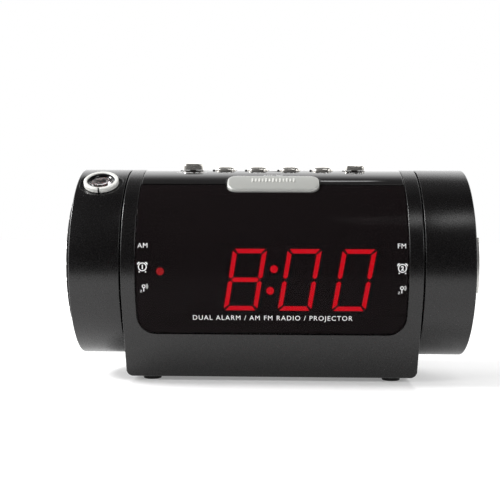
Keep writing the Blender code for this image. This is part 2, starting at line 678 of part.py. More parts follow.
def make_switches():
    frame = turned_frame(SWITCH_BOARD_ANGLE)
    bottom = SWITCH_BOARD_TOP - BOARD
    board = add("switch_board", block((-58 * MM, -14 * MM, bottom), (58 * MM, 14 * MM, SWITCH_BOARD_TOP)),
                frame, RESIN)
    reach = 36.8 * MM * sin(radians(SWITCH_BOARD_ANGLE - CONTROL_ANGLE))
    back = -37.1 * MM * sin(radians(SNOOZE_ANGLE - SWITCH_BOARD_ANGLE))
    places = [(x, reach) for x in CONTROL_X[1:5]] + [(SNOOZE_X, back)]
    keys = []
    for x, y in places:
        base = SWITCH_BOARD_TOP
        keys.append(block((x - 3 * MM, y - 3 * MM, base - MM), (x + 3 * MM, y + 3 * MM, base + 3.2 * MM)))
    boolean(board, "key_bodies", merged(*keys), "UNION", frame)
    tips = [moved(rod(1.6 * MM, SWITCH_BOARD_TOP + 2 * MM, SWITCH_BOARD_TOP + 4.3 * MM, 10), (x, y, 0))
            for x, y in places]
    boolean(board, "key_tips", merged(*tips), "UNION", frame)
    for name, x in (("function_switch", CONTROL_X[0]), ("band_switch", CONTROL_X[5])):
        low = (x - 5 * MM, reach - 3.4 * MM, SWITCH_BOARD_TOP + GAP)
        high = (x + 5 * MM, reach + 3.4 * MM, SWITCH_BOARD_TOP + 4.2 * MM)
        add(name, block(low, high), frame, STEEL)


def make_wheels():
    for name, end in (("volume_wheel", 1), ("tuning_wheel", -1)):
        frame = AXIS @ Matrix.Translation((end * WHEEL_X, WHEEL_Y, 0))
        teeth = 24
        rim = []
        hub = []
        for step in range(2 * teeth):
            spot = pi * step / teeth
            radius = WHEEL_R if step % 2 else WHEEL_R - 0.6 * MM
            rim.append((radius * cos(spot), radius * sin(spot)))
            hub.append((3.5 * MM * cos(spot), 3.5 * MM * sin(spot)))
        top = WHEEL_LOW_Z + WHEEL_THICK
        levels = [(rim, WHEEL_LOW_Z), (rim, top), (hub, top), (hub, -23.2 * MM)]
        add(name, loft([[(x, y, z) for x, y in outline] for outline, z in levels]), frame, BLACK)
    low = -22.9 * MM
    high = MAIN_BOARD_Z - GAP
    add("volume_pot", rod(8 * MM, low, high, 20), AXIS @ Matrix.Translation((WHEEL_X, WHEEL_Y, 0)), STEEL)
    half = 9.5 * MM
    add("tuning_capacitor", block((-half, -half, low), (half, half, high)),
        AXIS @ Matrix.Translation((-WHEEL_X, WHEEL_Y, 0)), PALE_RESIN)


# ---------------------------------------------------------------- electronics

def make_electronics():
    top = MAIN_BOARD_Z + BOARD
    add("main_board", block((-62 * MM, -12 * MM, MAIN_BOARD_Z), (62 * MM, 36 * MM, top)), look=RESIN)
    section = [MODULE_TOP, MODULE_FOOT, (MODULE_BACK_Y, MODULE_FOOT[1]), (MODULE_BACK_Y, MODULE_TOP[1])]
    add("display_module", prism(section, -58 * MM, 58 * MM), look=BLACK)
    front = MODULE_BACK_Y + GAP
    add("display_board", block((-60 * MM, front, -28 * MM), (60 * MM, front + BOARD, 14 * MM)), look=RESIN)

    low = PLATE_TOP_Z + GAP - AXIS_Z
    core_low = (-50 * MM, -19 * MM, low)
    core_high = (-20 * MM, 3 * MM, low + 23 * MM)
    core = add("transformer_core", block(core_low, core_high), look=FERRITE)
    middle = -35 * MM
    windows = [block((x - 3 * MM, -25 * MM, low + 5 * MM), (x + 3 * MM, 9 * MM, low + 18 * MM))
               for x in (middle - 7.5 * MM, middle + 7.5 * MM)]
    boolean(core, "core_windows", merged(*windows))
    coil = add("transformer_winding", block((middle - 10.2 * MM, -22.5 * MM, low + 5.3 * MM),
                                            (middle + 10.2 * MM, 6.5 * MM, low + 17.7 * MM)), look=COPPER)
    leg = block((middle - 4.8 * MM, -19.3 * MM, low), (middle + 4.8 * MM, 3.3 * MM, low + 23 * MM))
    boolean(coil, "winding_bore", leg)

    rod_y = 24 * MM
    rod_z = 2 * MM
    place = AXIS @ Matrix.Translation((0, rod_y, rod_z))
    add("ferrite_rod", rod(4 * MM, -34 * MM, 34 * MM, 16, "X"), place, FERRITE)
    coil = [(4.3 * MM, -10 * MM), (6 * MM, -10 * MM), (6 * MM, 10 * MM), (4.3 * MM, 10 * MM)]
    add("antenna_coil", turn(coil, 20, "X"), place, COPPER)
    foot_low = (-30 * MM, rod_y - 4 * MM, top + GAP)
    holder = add("rod_holder", block(foot_low, (30 * MM, rod_y + 4 * MM, top + 2.3 * MM)), look=PALE_RESIN)
    posts = [block((x - 2 * MM, rod_y - 4 * MM, top + MM), (x + 2 * MM, rod_y + 4 * MM, rod_z + MM))
             for x in (-26 * MM, 26 * MM)]
    boolean(holder, "rod_posts", merged(*posts), "UNION")
    boolean(holder, "rod_notches", moved(rod(4.3 * MM, -40 * MM, 40 * MM, 20, "X"), (0, rod_y, rod_z)))

    flange = [(1.9 * MM, 3.4 * MM), (1.9 * MM, -5 * MM), (3.4 * MM, -5 * MM), (3.4 * MM, GAP), (5 * MM, GAP),
              (5 * MM, 1.8 * MM), (3.4 * MM, 3.4 * MM)]
    spot, tilt = gland_spot()
    place = AXIS @ Matrix.Translation(spot) @ Matrix.Rotation(tilt, 4, "X")
    add("cord_gland", turn(flange, 20), place, RUBBER)


def make_battery_bay():
    low = PLATE_TOP_Z + GAP - AXIS_Z
    wall = 1.3 * MM
    outer_low = (BAY_X[0] - wall, BAY_Y[0] - wall, low)
    outer_high = (BAY_X[1] + wall, BAY_Y[1] + wall, low + 13 * MM)
    box = add("battery_box", block(outer_low, outer_high))
    inner_low = (BAY_X[0], BAY_Y[0], low - MM)
    boolean(box, "bay_hollow", block(inner_low, (BAY_X[1], BAY_Y[1], low + 13 * MM - wall)))
    for name, x in (("battery_contact_left", BAY_X[0] + GAP),
                    ("battery_contact_right", BAY_X[1] - 0.7 * MM)):
        plate = block((x, BAY_Y[0] + MM, low + 2 * MM), (x + 0.4 * MM, BAY_Y[1] - MM, low + 10 * MM))
        add(name, plate, look=STEEL)

    base = BASE_Z - AXIS_Z
    levels = [(-MM, 0), (-MM, 0.95), (0, 0.95), (0, 1.4)]
    side_l = [(DOOR_X[0] - step[0], base + step[1] * MM) for step in levels]
    side_r = [(DOOR_X[1] + step[0], base + step[1] * MM) for step in levels]
    outline = side_l + side_r[::-1]
    door_rings = [[(x, y, z) for x, z in outline] for y in DOOR_Y]
    door = add("battery_door", loft(door_rings))
    grips = [block((8 * MM, y * MM, base - MM), (36 * MM, (y + 0.8) * MM, base + 0.5 * MM))
             for y in (16, 18, 20)]
    boolean(door, "door_grips", merged(*grips))


make_front_cabinet()
make_rear_cabinet()
make_top_panel()
make_front_window()
make_base_plate()
make_feet_and_screws()
make_drums()
make_discs()
make_speaker()
make_projector()
make_buttons()
make_snooze_bar()
make_sliders()
make_switches()
make_wheels()
make_electronics()
make_battery_bay()
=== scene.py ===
"""Looks of the projection clock radio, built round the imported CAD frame."""
from math import acos, atan2, copysign, cos, degrees, hypot, pi, radians, sin, sqrt, tan

import bmesh
import bpy
from mathutils import Matrix, Vector


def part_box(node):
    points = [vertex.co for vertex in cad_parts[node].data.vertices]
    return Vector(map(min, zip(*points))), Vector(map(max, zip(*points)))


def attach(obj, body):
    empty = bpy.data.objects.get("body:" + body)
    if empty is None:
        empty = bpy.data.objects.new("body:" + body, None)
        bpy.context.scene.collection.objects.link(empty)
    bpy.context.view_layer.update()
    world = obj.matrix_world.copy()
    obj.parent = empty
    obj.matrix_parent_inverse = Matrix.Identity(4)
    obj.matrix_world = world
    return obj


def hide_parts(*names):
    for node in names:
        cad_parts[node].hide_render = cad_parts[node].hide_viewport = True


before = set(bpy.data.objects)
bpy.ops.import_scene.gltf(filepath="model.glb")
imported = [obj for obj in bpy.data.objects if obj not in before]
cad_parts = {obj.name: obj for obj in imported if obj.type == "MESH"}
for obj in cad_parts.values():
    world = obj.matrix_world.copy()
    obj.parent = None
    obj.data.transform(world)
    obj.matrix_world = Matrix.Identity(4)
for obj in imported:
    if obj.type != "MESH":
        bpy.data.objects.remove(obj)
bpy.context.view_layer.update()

MM = 0.001
TURN = 2 * pi


def centre(name):
    """Middle of the box of a CAD node."""
    return [(low + high) / 2 for low, high in zip(*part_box(name))]


# ---- sizes, most of them from the frame

drum_low, drum_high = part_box("right_drum")
shell_low, shell_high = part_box("front_cabinet")
disc_low, disc_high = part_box("speaker_grille")

AXIS_Z = (drum_low[2] + drum_high[2]) / 2
BARREL_R = (drum_high[2] - drum_low[2]) / 2
DRUM_START_X = drum_low[0]
DRUM_END_X = drum_high[0]
CRADLE_X = shell_high[0]
PANEL_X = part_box("top_panel")[1][0]
BASE_DROP = AXIS_Z - shell_low[2]
BASE_HALF_DEPTH = 25.65 * MM
WINDOW_BOTTOM_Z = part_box("front_window")[0][2] - AXIS_Z
DISC_R = (disc_high[2] - disc_low[2]) / 2
DISC_CROWN_X = disc_high[0]
DISC_RISE = 2.7 * MM
DISC_RIM_X = DISC_CROWN_X - DISC_RISE
BAND_RISE = 1.2 * MM
BAND_HALF = 13.4 * MM

GAP = 0.3 * MM
WALL = 2.2 * MM
SKIN = 2.0 * MM
PLATE_EDGE_R = 0.5 * MM
THICK_WALL = 4.5 * MM
LEDGE_WIDTH = 2.4 * MM
CUT_DEPTH = 9 * MM  # through the thick wall
SEAT_DEPTH = 2.5 * MM  # recess for the window and the top panel
PAST = 5 * MM  # how far a cutter reaches past a surface
FOOT_CORNER_R = 3.2 * MM
SPINDLE_HOLE_R = 5.3 * MM
SEAM_ANGLE = 35.0
PANEL_REAR_ANGLE = -40.0
WINDOW_CORNER_R = 8.7 * MM

CONTROL_ANGLE = 8.0
CONTROL_NODES = ("function_slider", "hour_button", "minute_button", "alarm_one_button",
                 "alarm_two_button", "band_slider")
CONTROL_BODIES = ("function_knob", "hour_key", "minute_key", "alarm_one_key", "alarm_two_key", "band_knob")
CONTROL_X = [centre(name)[0] for name in CONTROL_NODES]
SLIDER_NUMBERS = (0, 5)
PIP_ANGLE = 10.5
BUTTON_SIZE = (10.6 * MM, 7.6 * MM)
KNOB_SIZE = (10.6 * MM, 6.2 * MM)
KNOB_CURVE = 3.6
STEM_SIZE = (3.4 * MM, 2.4 * MM)
SLOT_LENGTH = 8.6 * MM
FUNCTION_KNOB_TOP = 51.15 * MM
WINDOW_RECESS = 0.08 * MM
BAND_KNOB_TOP = 50.3 * MM

SNOOZE_ANGLE = 34.0
SNOOZE_X = centre("snooze_bar")[0]
SNOOZE_SIZE = (45.2 * MM, 13.4 * MM)
SNOOZE_CORNER = 4.6 * MM
SNOOZE_TOP = 48.8 * MM

LENS_ANGLE = 33.0
LENS_X = centre("focus_ring")[0]
RING_R = 8.6 * MM
RING_BORE = 6.8 * MM
RING_TOP = 48.9 * MM
SEAT_R = 10.8 * MM
SEAT_H = 46.25 * MM
BARREL_HOLE_R = 8.3 * MM

DIGIT_HEIGHT = 29.8 * MM
DIGIT_WIDTH = 16.2 * MM
DIGIT_LEAN = 0.163
DIGIT_LOW_Z = -22.2 * MM
DIGIT_PITCH = 26.1 * MM
DIGIT_FIRST_X = -49.25 * MM
SEGMENT = 2.12 * MM
MODULE_LEAN = 7.0 * MM
DOT_R = 1.85 * MM
PRINT = 0.04 * MM
PRINT_SINK = 0.02 * MM
CAPITAL = 0.69  # height of a capital when the lettering's size is 1

LED_R = 2.5 * MM
WHEEL_R = 15.95 * MM
WHEEL_THICKNESS = 3 * MM
WHEEL_SLOT_HALF = 13 * MM
TEETH = 24
WHEEL_STEPS = 8 * TEETH

SLANT = (pi / 2 - acos(BARREL_R / hypot(BASE_HALF_DEPTH, BASE_DROP))
         - atan2(BASE_HALF_DEPTH, BASE_DROP))
TANGENT_ANGLE = 90.0 + degrees(SLANT)
FINE = 1.0
FAR = 0.2
AXIS = Matrix.Translation((0, 0, AXIS_Z))


# ---- mesh helpers

def turned_frame(angle, x=0.0):
    """Frame on the barrel's axis with local Z pointing out at an angle from straight up."""
    return AXIS @ Matrix.Translation((x, 0, 0)) @ Matrix.Rotation(radians(angle), 4, "X")


def put(name, data):
    """New object in the scene."""
    made = bpy.data.objects.new(name, data)
    bpy.context.scene.collection.objects.link(made)
    return made


def add(name, bm, place=AXIS, sharp=40):
    """Turn a bmesh into an object whose flat and round parts are shaded as such."""
    bmesh.ops.recalc_face_normals(bm, faces=bm.faces)
    mesh = bpy.data.meshes.new(name)
    bm.to_mesh(mesh)
    bm.free()
    mesh.shade_smooth()
    mesh.set_sharp_from_angle(angle=radians(sharp))
    made = put(name, mesh)
    made.matrix_world = place
    return made


def loft(rings):
    """Closed solid through rings that have equal numbers of points."""
    bm = bmesh.new()
    loops = [[bm.verts.new(point) for point in ring] for ring in rings]
    count = len(rings[0])
    for low, high in zip(loops, loops[1:]):
        for index in range(count):
            after = (index + 1) % count
            bm.faces.new((low[index], low[after], high[after], high[index]))
    bm.faces.new(loops[0][::-1])
    bm.faces.new(loops[-1])
    return bm


def stack(levels):
    """Closed solid through pairs of an outline in local XY and its height."""
    return loft([[(x, y, z) for x, y in outline] for outline, z in levels])


def slab(outline, low, high):
    """Outline in local XY, raised from one height to another."""
    return stack([(outline, low), (outline, high)])


def prism(outline, low, high):
    """Outline in the YZ plane, drawn out along X."""
    return loft([[(x, y, z) for y, z in outline] for x in (low, high)])


def block(low, high):
    """Box from its low corner to its high corner."""
    outline = [(low[0], low[1]), (high[0], low[1]), (high[0], high[1]), (low[0], high[1])]
    return slab(outline, low[2], high[2])


def merged(*parts):
    """One bmesh that holds several others."""
    whole = bmesh.new()
    for part in parts:
        mesh = bpy.data.meshes.new("merge")
        part.to_mesh(mesh)
        part.free()
        whole.from_mesh(mesh)
        bpy.data.meshes.remove(mesh)
    return whole


def turn(profile, steps=96, along="Z"):
    """Closed profile of (radius, height) points turned round an axis."""
    bm = bmesh.new()
    rings = []
    for radius, height in profile:
        spots = [0.0] if radius == 0 else [TURN * step / steps for step in range(steps)]
        ring = []
        for spot in spots:
            across = (radius * cos(spot), radius * sin(spot))
            place = (*across, height) if along == "Z" else (height, *across)
            ring.append(bm.verts.new(place))
        rings.append(ring)
    for first, second in zip(rings, rings[1:] + rings[:1]):
        if len(first) == 1 and len(second) == 1:
            continue
        for step in range(steps):
            after = (step + 1) % steps
            corners = [first[step % len(first)], first[after % len(first)]]
            corners += [second[after % len(second)], second[step % len(second)]]
            bm.faces.new(dict.fromkeys(corners))
    return bm


def rod(radius, low, high, steps=48, along="Z"):
    """Plain cylinder, for cutting."""
    return turn([(0, low), (radius, low), (radius, high), (0, high)], steps, along)


def moved(bm, offset=(0, 0, 0), turned=0.0, about="X"):
    """The same bmesh, turned and then shifted."""
    matrix = Matrix.Translation(offset) @ Matrix.Rotation(turned, 4, about)
    bmesh.ops.transform(bm, matrix=matrix, verts=bm.verts)
    return bm


def as_bmesh(mesh):
    """Copy of a mesh, for editing."""
    bm = bmesh.new()
    bm.from_mesh(mesh)
    return bm


def evaluated(made):
    """Mesh that an object's curve or modifiers make."""
    graph = bpy.context.evaluated_depsgraph_get()
    return bpy.data.meshes.new_from_object(made.evaluated_get(graph), depsgraph=graph)


def bake(made):
    """Replace an object's mesh by what its modifiers make of it."""
    mesh = evaluated(made)
    old = made.data
    made.modifiers.clear()
    made.data = mesh
    bpy.data.meshes.remove(old)


def combine(target, bm, operation="DIFFERENCE", place=AXIS):
    """Boolean of a part with a solid, applied at once."""
    tool = add("tool", bm, place)
    bpy.context.view_layer.update()
    step = target.modifiers.new("combine", "BOOLEAN")
    step.operation = operation
    step.solver = "EXACT"
    step.object = tool
    bake(target)
    bpy.data.objects.remove(tool, do_unlink=True)


def soften(made, width, segments=3, limit=38):
    """Round the edges that a moulded piece would have rounded."""
    step = made.modifiers.new("soften", "BEVEL")
    step.width = width
    step.segments = segments
    step.limit_method = "ANGLE"
    step.angle_limit = radians(limit)
    step.use_clamp_overlap = False
    step.miter_outer = "MITER_ARC"
    step.harden_normals = True
    return made


def quarter(steps, start=0.0):
    """Angles over a quarter turn, with both ends."""
    return [start + pi / 2 * step / steps for step in range(steps + 1)]


def in_mm(*points):
    """Points given in millimetres, with whatever follows their two lengths."""
    return [(x * MM, y * MM, *rest) for x, y, *rest in points]


def oval(size, squareness=2.6, steps=64, scale=1.0, grow=0.0):
    """Superellipse outline."""
    points = []
    for step in range(steps):
        spot = TURN * (step + 0.5) / steps
        x, y = [copysign(abs(part) ** (2 / squareness), part) for part in (cos(spot), sin(spot))]
        points.append((x * (size[0] / 2 * scale + grow), y * (size[1] / 2 * scale + grow)))
    return points


def rounded(size, radius, grow=0.0, steps=6):
    """Rectangle outline with round corners, round the origin."""
    reach_x, reach_y = [length / 2 + grow - radius for length in size]
    points = []
    for corner, (sx, sy) in enumerate(((1, 1), (-1, 1), (-1, -1), (1, -1))):
        for step in range(steps + 1):
            spot = pi / 2 * (corner + step / steps)
            points.append((sx * reach_x + radius * cos(spot), sy * reach_y + radius * sin(spot)))
    return points


def bar(grow=0.0):
    """Outline of the snooze bar: a long key with large round corners."""
    return rounded(SNOOZE_SIZE, max(SNOOZE_CORNER + grow, 0.3 * MM), grow, 12)


def apron(half, top, low, radius, steps=16):
    """Outline that is square at the top and round at its lower corners."""
    points = [(half, top), (-half, top)]
    for x, start in ((radius - half, pi), (half - radius, 3 * pi / 2)):
        points += [(x + radius * cos(spot), low + radius + radius * sin(spot))
                   for spot in quarter(steps, start)]
    return points


def circle(x, y, radius, steps=32):
    """Circle as an outline."""
    spots = [TURN * step / steps for step in range(steps)]
    return [(x + radius * cos(spot), y + radius * sin(spot)) for spot in spots]


def round_point(angle, depth):
    """Point (y, z) at a depth under the barrel's surface, angle from straight up to the front."""
    radius = BARREL_R - depth
    return (-radius * sin(radians(angle)), radius * cos(radians(angle)))


def slant_point(z, depth):
    """Point (y, z) at a depth under the front slanted face."""
    y, top = round_point(TANGENT_ANGLE, depth)
    return (y + (top - z) * tan(SLANT), z)


def arc(start, end, depth):
    """Points (y, z) along the barrel from one angle to another."""
    count = max(1, round(abs(end - start) / FINE))
    return [round_point(start + (end - start) * index / count, depth) for index in range(count + 1)]


def sheet(start, end, outer, inner):
    """Section of a sheet that follows the barrel."""
    return arc(start, end, outer) + arc(start, end, inner)[::-1]


def front_y(z):
    """Where the front surface lies at a height above the axis."""
    if z < round_point(TANGENT_ANGLE, 0)[1]:
        return slant_point(z, 0)[0]
    return -sqrt(BARREL_R ** 2 - z ** 2)


def mirrored(outline, side):
    """The front outline (side -1), or the same one for the rear (side 1)."""
    return [(-side * y, z) for y, z in outline]


# ---- materials

def new_material(name):
    """Node material and its Principled shader."""
    made = bpy.data.materials.new(name)
    made.use_nodes = True
    return made, made.node_tree.nodes["Principled BSDF"]


def fill(target, inputs):
    """Link a node's inputs to sockets, or set them to values."""
    for name, value in inputs.items():
        if isinstance(value, bpy.types.NodeSocket):
            target.id_data.links.new(value, target.inputs[name])
        else:
            target.inputs[name].default_value = value


def node(near, kind, inputs=None):
    """New node in the tree of another node or socket."""
    made = near.id_data.nodes.new(kind)
    fill(made, inputs or {})
    return made


def noise(near, scale, detail=2.0, roughness=0.55):
    """Noise that is fixed to the object."""
    place = node(near, "ShaderNodeTexCoord").outputs["Object"]
    inputs = {"Vector": place, "Scale": scale, "Detail": detail, "Roughness": roughness}
    return node(near, "ShaderNodeTexNoise", inputs).outputs["Fac"]


def span(source, low, high):
    """Map a noise value onto a range."""
    inputs = {"Value": source, "From Min": 0.3, "From Max": 0.7, "To Min": low, "To Max": high}
    return node(source, "ShaderNodeMapRange", inputs).outputs["Result"]


def blend_colours(source, first, second):
    """Mix two colours by a noise value."""
    made = node(source, "ShaderNodeMix")
    made.data_type = "RGBA"
    fill(made, {"Factor": source, "A": (*first, 1), "B": (*second, 1)})
    return made.outputs["Result"]


def bump(shader, source, strength):
    """Fine relief from a noise value."""
    inputs = {"Height": source, "Strength": strength, "Distance": 0.05 * MM}
    fill(shader, {"Normal": node(shader, "ShaderNodeBump", inputs).outputs["Normal"]})


def moulded(name, colour, rough, grain=900.0, relief=0.1, metallic=0.0, contrast=0.25, spread=0.05,
            specular=0.5):
    """Moulded or painted plastic: cloudy tint, uneven gloss and a fine grain."""
    made, shader = new_material(name)
    lighter = [min(1.0, part * (1 + contrast)) for part in colour]
    darker = [part * (1 - contrast) for part in colour]
    fine = noise(shader, grain, 6.0, 0.7)
    fill(shader, {"Base Color": blend_colours(noise(shader, 55.0, 3.0), darker, lighter),
                  "Roughness": span(fine, rough - spread, rough + spread),
                  "Metallic": metallic, "Specular IOR Level": specular})
    if relief:
        bump(shader, fine, relief)
    return made


def glowing(name, colour, strength, edge):
    """LED segment: a red diffuser that is a little uneven in brightness."""
    made, shader = new_material(name)
    tint = blend_colours(noise(shader, 260.0), colour, edge)
    fill(shader, {"Base Color": tint, "Emission Color": tint, "Emission Strength": strength,
                  "Roughness": 0.4})
    return made


def smoked(name):
    """Dark see-through plastic of the display window."""
    made, shader = new_material(name)
    cloud = noise(shader, 40.0)
    fill(shader, {"Base Color": blend_colours(cloud, (0.064, 0.050, 0.053), (0.070, 0.053, 0.056)),
                  "Roughness": span(cloud, 0.02, 0.05), "Transmission Weight": 0.88, "IOR": 1.07})
    return made


def clear(name, tint):
    """Clear moulded glass or acrylic."""
    made, shader = new_material(name)
    lighter = [min(1.0, part * 1.04) for part in tint]
    fill(shader, {"Base Color": blend_colours(noise(shader, 300.0), tint, lighter),
                  "Roughness": 0.02, "Transmission Weight": 1.0, "IOR": 1.49})
    return made


def circuit(name):
    """Circuit board lacquer with paler tracks."""
    made, shader = new_material(name)
    inputs = {"Vector": node(shader, "ShaderNodeTexCoord").outputs["Object"], "Scale": 180.0,
              "Mortar Size": 0.03, "Color1": (0.012, 0.07, 0.025, 1), "Color2": (0.016, 0.085, 0.03, 1),
              "Mortar": (0.04, 0.2, 0.07, 1)}
    tracks = node(shader, "ShaderNodeTexBrick", inputs).outputs
    fill(shader, {"Base Color": tracks["Color"], "Roughness": 0.35})
    bump(shader, tracks["Fac"], 0.3)
    return made


SATIN = moulded("black_satin_plastic", (0.0052, 0.0047, 0.0049), 0.27, grain=1500.0, relief=0.05)
GLOSS = moulded("black_gloss_plastic", (0.0052, 0.0046, 0.0048), 0.13, grain=1200.0, relief=0.03,
                spread=0.03, specular=0.6)
CAP = moulded("black_cap_plastic", (0.0052, 0.0047, 0.0049), 0.4, grain=1500.0, specular=0.2)
MATT = moulded("black_matt_plastic", (0.012, 0.0115, 0.012), 0.5, grain=1800.0, relief=0.4)
SMOKED = smoked("smoked_window_plastic")
EDGE = moulded("polished_window_edge", (0.01, 0.009, 0.009), 0.12, relief=0.0, specular=1.0)
MASK = moulded("display_mask", (0.0025, 0.0022, 0.0024), 0.7, relief=0.2, specular=0.1)
SILVER = moulded("silver_paint", (0.62, 0.61, 0.58), 0.34, grain=2600.0, relief=0.12, metallic=0.7,
                 contrast=0.05)
SATIN_SILVER = moulded("satin_silver_paint", (0.53, 0.535, 0.51), 0.36, grain=2600.0, relief=0.12,
                       metallic=0.25, contrast=0.05)
# pearl white paint of the focus ring; on the snooze bar's ribs the same material is a painted highlight
PEARL_PAINT_AND_RIB_HIGHLIGHT = moulded("pearl_paint_and_rib_highlight", (0.86, 0.855, 0.82), 0.3, grain=2600.0, relief=0.08, metallic=0.1,
                contrast=0.03)
PLATED = moulded("bright_plating", (0.88, 0.85, 0.80), 0.2, relief=0.03, metallic=0.8, contrast=0.04)
STEEL = moulded("zinc_steel", (0.50, 0.50, 0.52), 0.34, grain=1100.0, relief=0.15, metallic=1.0,
                contrast=0.12)
RUBBER = moulded("black_rubber", (0.012, 0.012, 0.012), 0.75, grain=1400.0, relief=0.6)
INK = moulded("white_ink", (0.94, 0.94, 0.94), 0.5, relief=0.0, contrast=0.03)
RED_GLOW = glowing("red_segment", (1.0, 0.0, 0.004), 10.8, (0.86, 0.004, 0.03))
RED_DIM = glowing("red_indicator", (1.0, 0.05, 0.06), 6.0, (0.8, 0.01, 0.015))
UNLIT = moulded("unlit_segment", (0.02, 0.003, 0.004), 0.5, relief=0.0)
LAMP = glowing("red_lamp", (1.0, 0.12, 0.12), 6.0, (1.0, 0.2, 0.18))
LENS = clear("lens_acrylic", (0.90, 0.86, 0.88))
BOARD = circuit("circuit_board")
COPPER = moulded("enamelled_copper", (0.45, 0.16, 0.06), 0.3, grain=1600.0, relief=0.6, metallic=0.9)
FERRITE = moulded("dark_ferrite", (0.05, 0.05, 0.055), 0.6, grain=1300.0, relief=0.5)
PALE = moulded("natural_nylon", (0.62, 0.61, 0.55), 0.42, relief=0.2, contrast=0.06)
PAPER = moulded("cone_paper", (0.03, 0.03, 0.03), 0.85, grain=1000.0, relief=0.8)


# ---- placing pieces

def piece(made, look, *nodes, body="cabinet", slot="black_plastic"):
    """Give a piece its material, the body it moves with and the nodes it stands for."""
    made.data.materials.clear()
    made.data.materials.append(look)
    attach(made, body)
    if nodes:
        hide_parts(*nodes)
    return made


CARRIED = {
    SATIN: ("battery_box",),
    MATT: ("lens_barrel", "display_module"),
    STEEL: ("drum_screw_1", "drum_screw_2", "drum_screw_3", "spindle_clip", "battery_contact_left",
            "battery_contact_right", "function_switch", "band_switch", "volume_pot", "speaker_basket"),
    BOARD: ("main_board", "display_board", "switch_board", "projector_board"),
    COPPER: ("transformer_winding", "antenna_coil"),
    FERRITE: ("transformer_core", "ferrite_rod", "speaker_magnet"),
    PALE: ("tuning_capacitor", "rod_holder", "projector_spindle"),
    PAPER: ("speaker_cone",),
    LENS: ("projector_lcd",),
}


def dress_carried_nodes():
    """Materials for the CAD nodes that stay as they are."""
    for look, names in CARRIED.items():
        for name in names:
            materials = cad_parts[name].data.materials
            materials.clear()
            materials.append(look)


# ---- cabinet

def shell_outline(side):
    """Outer section of one half of the cabinet, from the split to the base."""
    front = arc(0, TANGENT_ANGLE, 0)
    front[0] = (-GAP / 6, BARREL_R)
    front += [slant_point(-BASE_DROP, 0), (-GAP / 6, -BASE_DROP)]
    return mirrored(front, side)


def hollow_outline(side, thick_until):
    """Hollow of one half: deep under the window's ledge, then a plain wall."""
    below = -BASE_DROP - PAST
    if side < 0:
        front = arc(0, TANGENT_ANGLE, THICK_WALL)
        front += [slant_point(thick_until, THICK_WALL), slant_point(thick_until, WALL)]
    else:
        front = arc(0, thick_until, THICK_WALL) + arc(thick_until, TANGENT_ANGLE, WALL)
    front += [slant_point(below, WALL), (PAST, below)]
    front[0] = (PAST, front[0][1])
    return mirrored(front, side)


def skin_outline(start, low_z, outer, inner):
    """Section of a curved sheet on the front, down past the window's edge."""
    outside = arc(start, TANGENT_ANGLE, outer) + [slant_point(low_z, outer)]
    inside = arc(start, TANGENT_ANGLE, inner) + [slant_point(low_z, inner)]
    return outside + inside[::-1]


def window_face(grow):
    """Front view of the window."""
    return apron(PANEL_X + grow, FAR, WINDOW_BOTTOM_Z - grow, WINDOW_CORNER_R + grow)


def face_block(outline, back=0.0):
    """Front-view outline drawn out along Y."""
    return loft([[(x, y, z) for x, z in outline] for y in (-FAR, back)])


def opening(outline_bm, grow):
    """Cutter for the window: a curved block within the window's front view."""
    tool = add("opening", outline_bm)
    combine(tool, face_block(window_face(grow)), "INTERSECT")
    bm = as_bmesh(tool.data)
    bpy.data.objects.remove(tool, do_unlink=True)
    return bm


def hollow_half(node_name, side, thick_until):
    """Half of the cabinet, with round corners at its foot, before its openings are cut."""
    half = add(node_name + "_moulding", prism(shell_outline(side), -CRADLE_X, CRADLE_X))
    foot = apron(CRADLE_X, FAR, -BASE_DROP, FOOT_CORNER_R, 8)
    combine(half, face_block(foot, FAR), "INTERSECT")
    inside = CRADLE_X - 2 * MM
    combine(half, prism(hollow_outline(side, thick_until), -inside, inside))
    return half


def finish_half(half, node_name):
    """Hole for the projector's spindle, soft edges and the node that the half stands for."""
    combine(half, rod(SPINDLE_HOLE_R, -CRADLE_X - MM, -CRADLE_X + 4 * MM, 48, "X"))
    soften(half, 0.6 * MM)
    piece(half, SATIN, node_name)


def make_front_cabinet():
    half = hollow_half("front_cabinet", -1, WINDOW_BOTTOM_Z - 3 * MM)
    wide = PANEL_X + 20 * MM
    for grow, inner in ((GAP / 2, SEAT_DEPTH), (-LEDGE_WIDTH, CUT_DEPTH)):
        outline = skin_outline(20, WINDOW_BOTTOM_Z - 12 * MM, -PAST, inner)
        combine(half, opening(prism(outline, -wide, wide), grow))
        combine(half, prism(sheet(-4, 24, -PAST, inner), -PANEL_X - grow, PANEL_X + grow))
    finish_half(half, "front_cabinet")


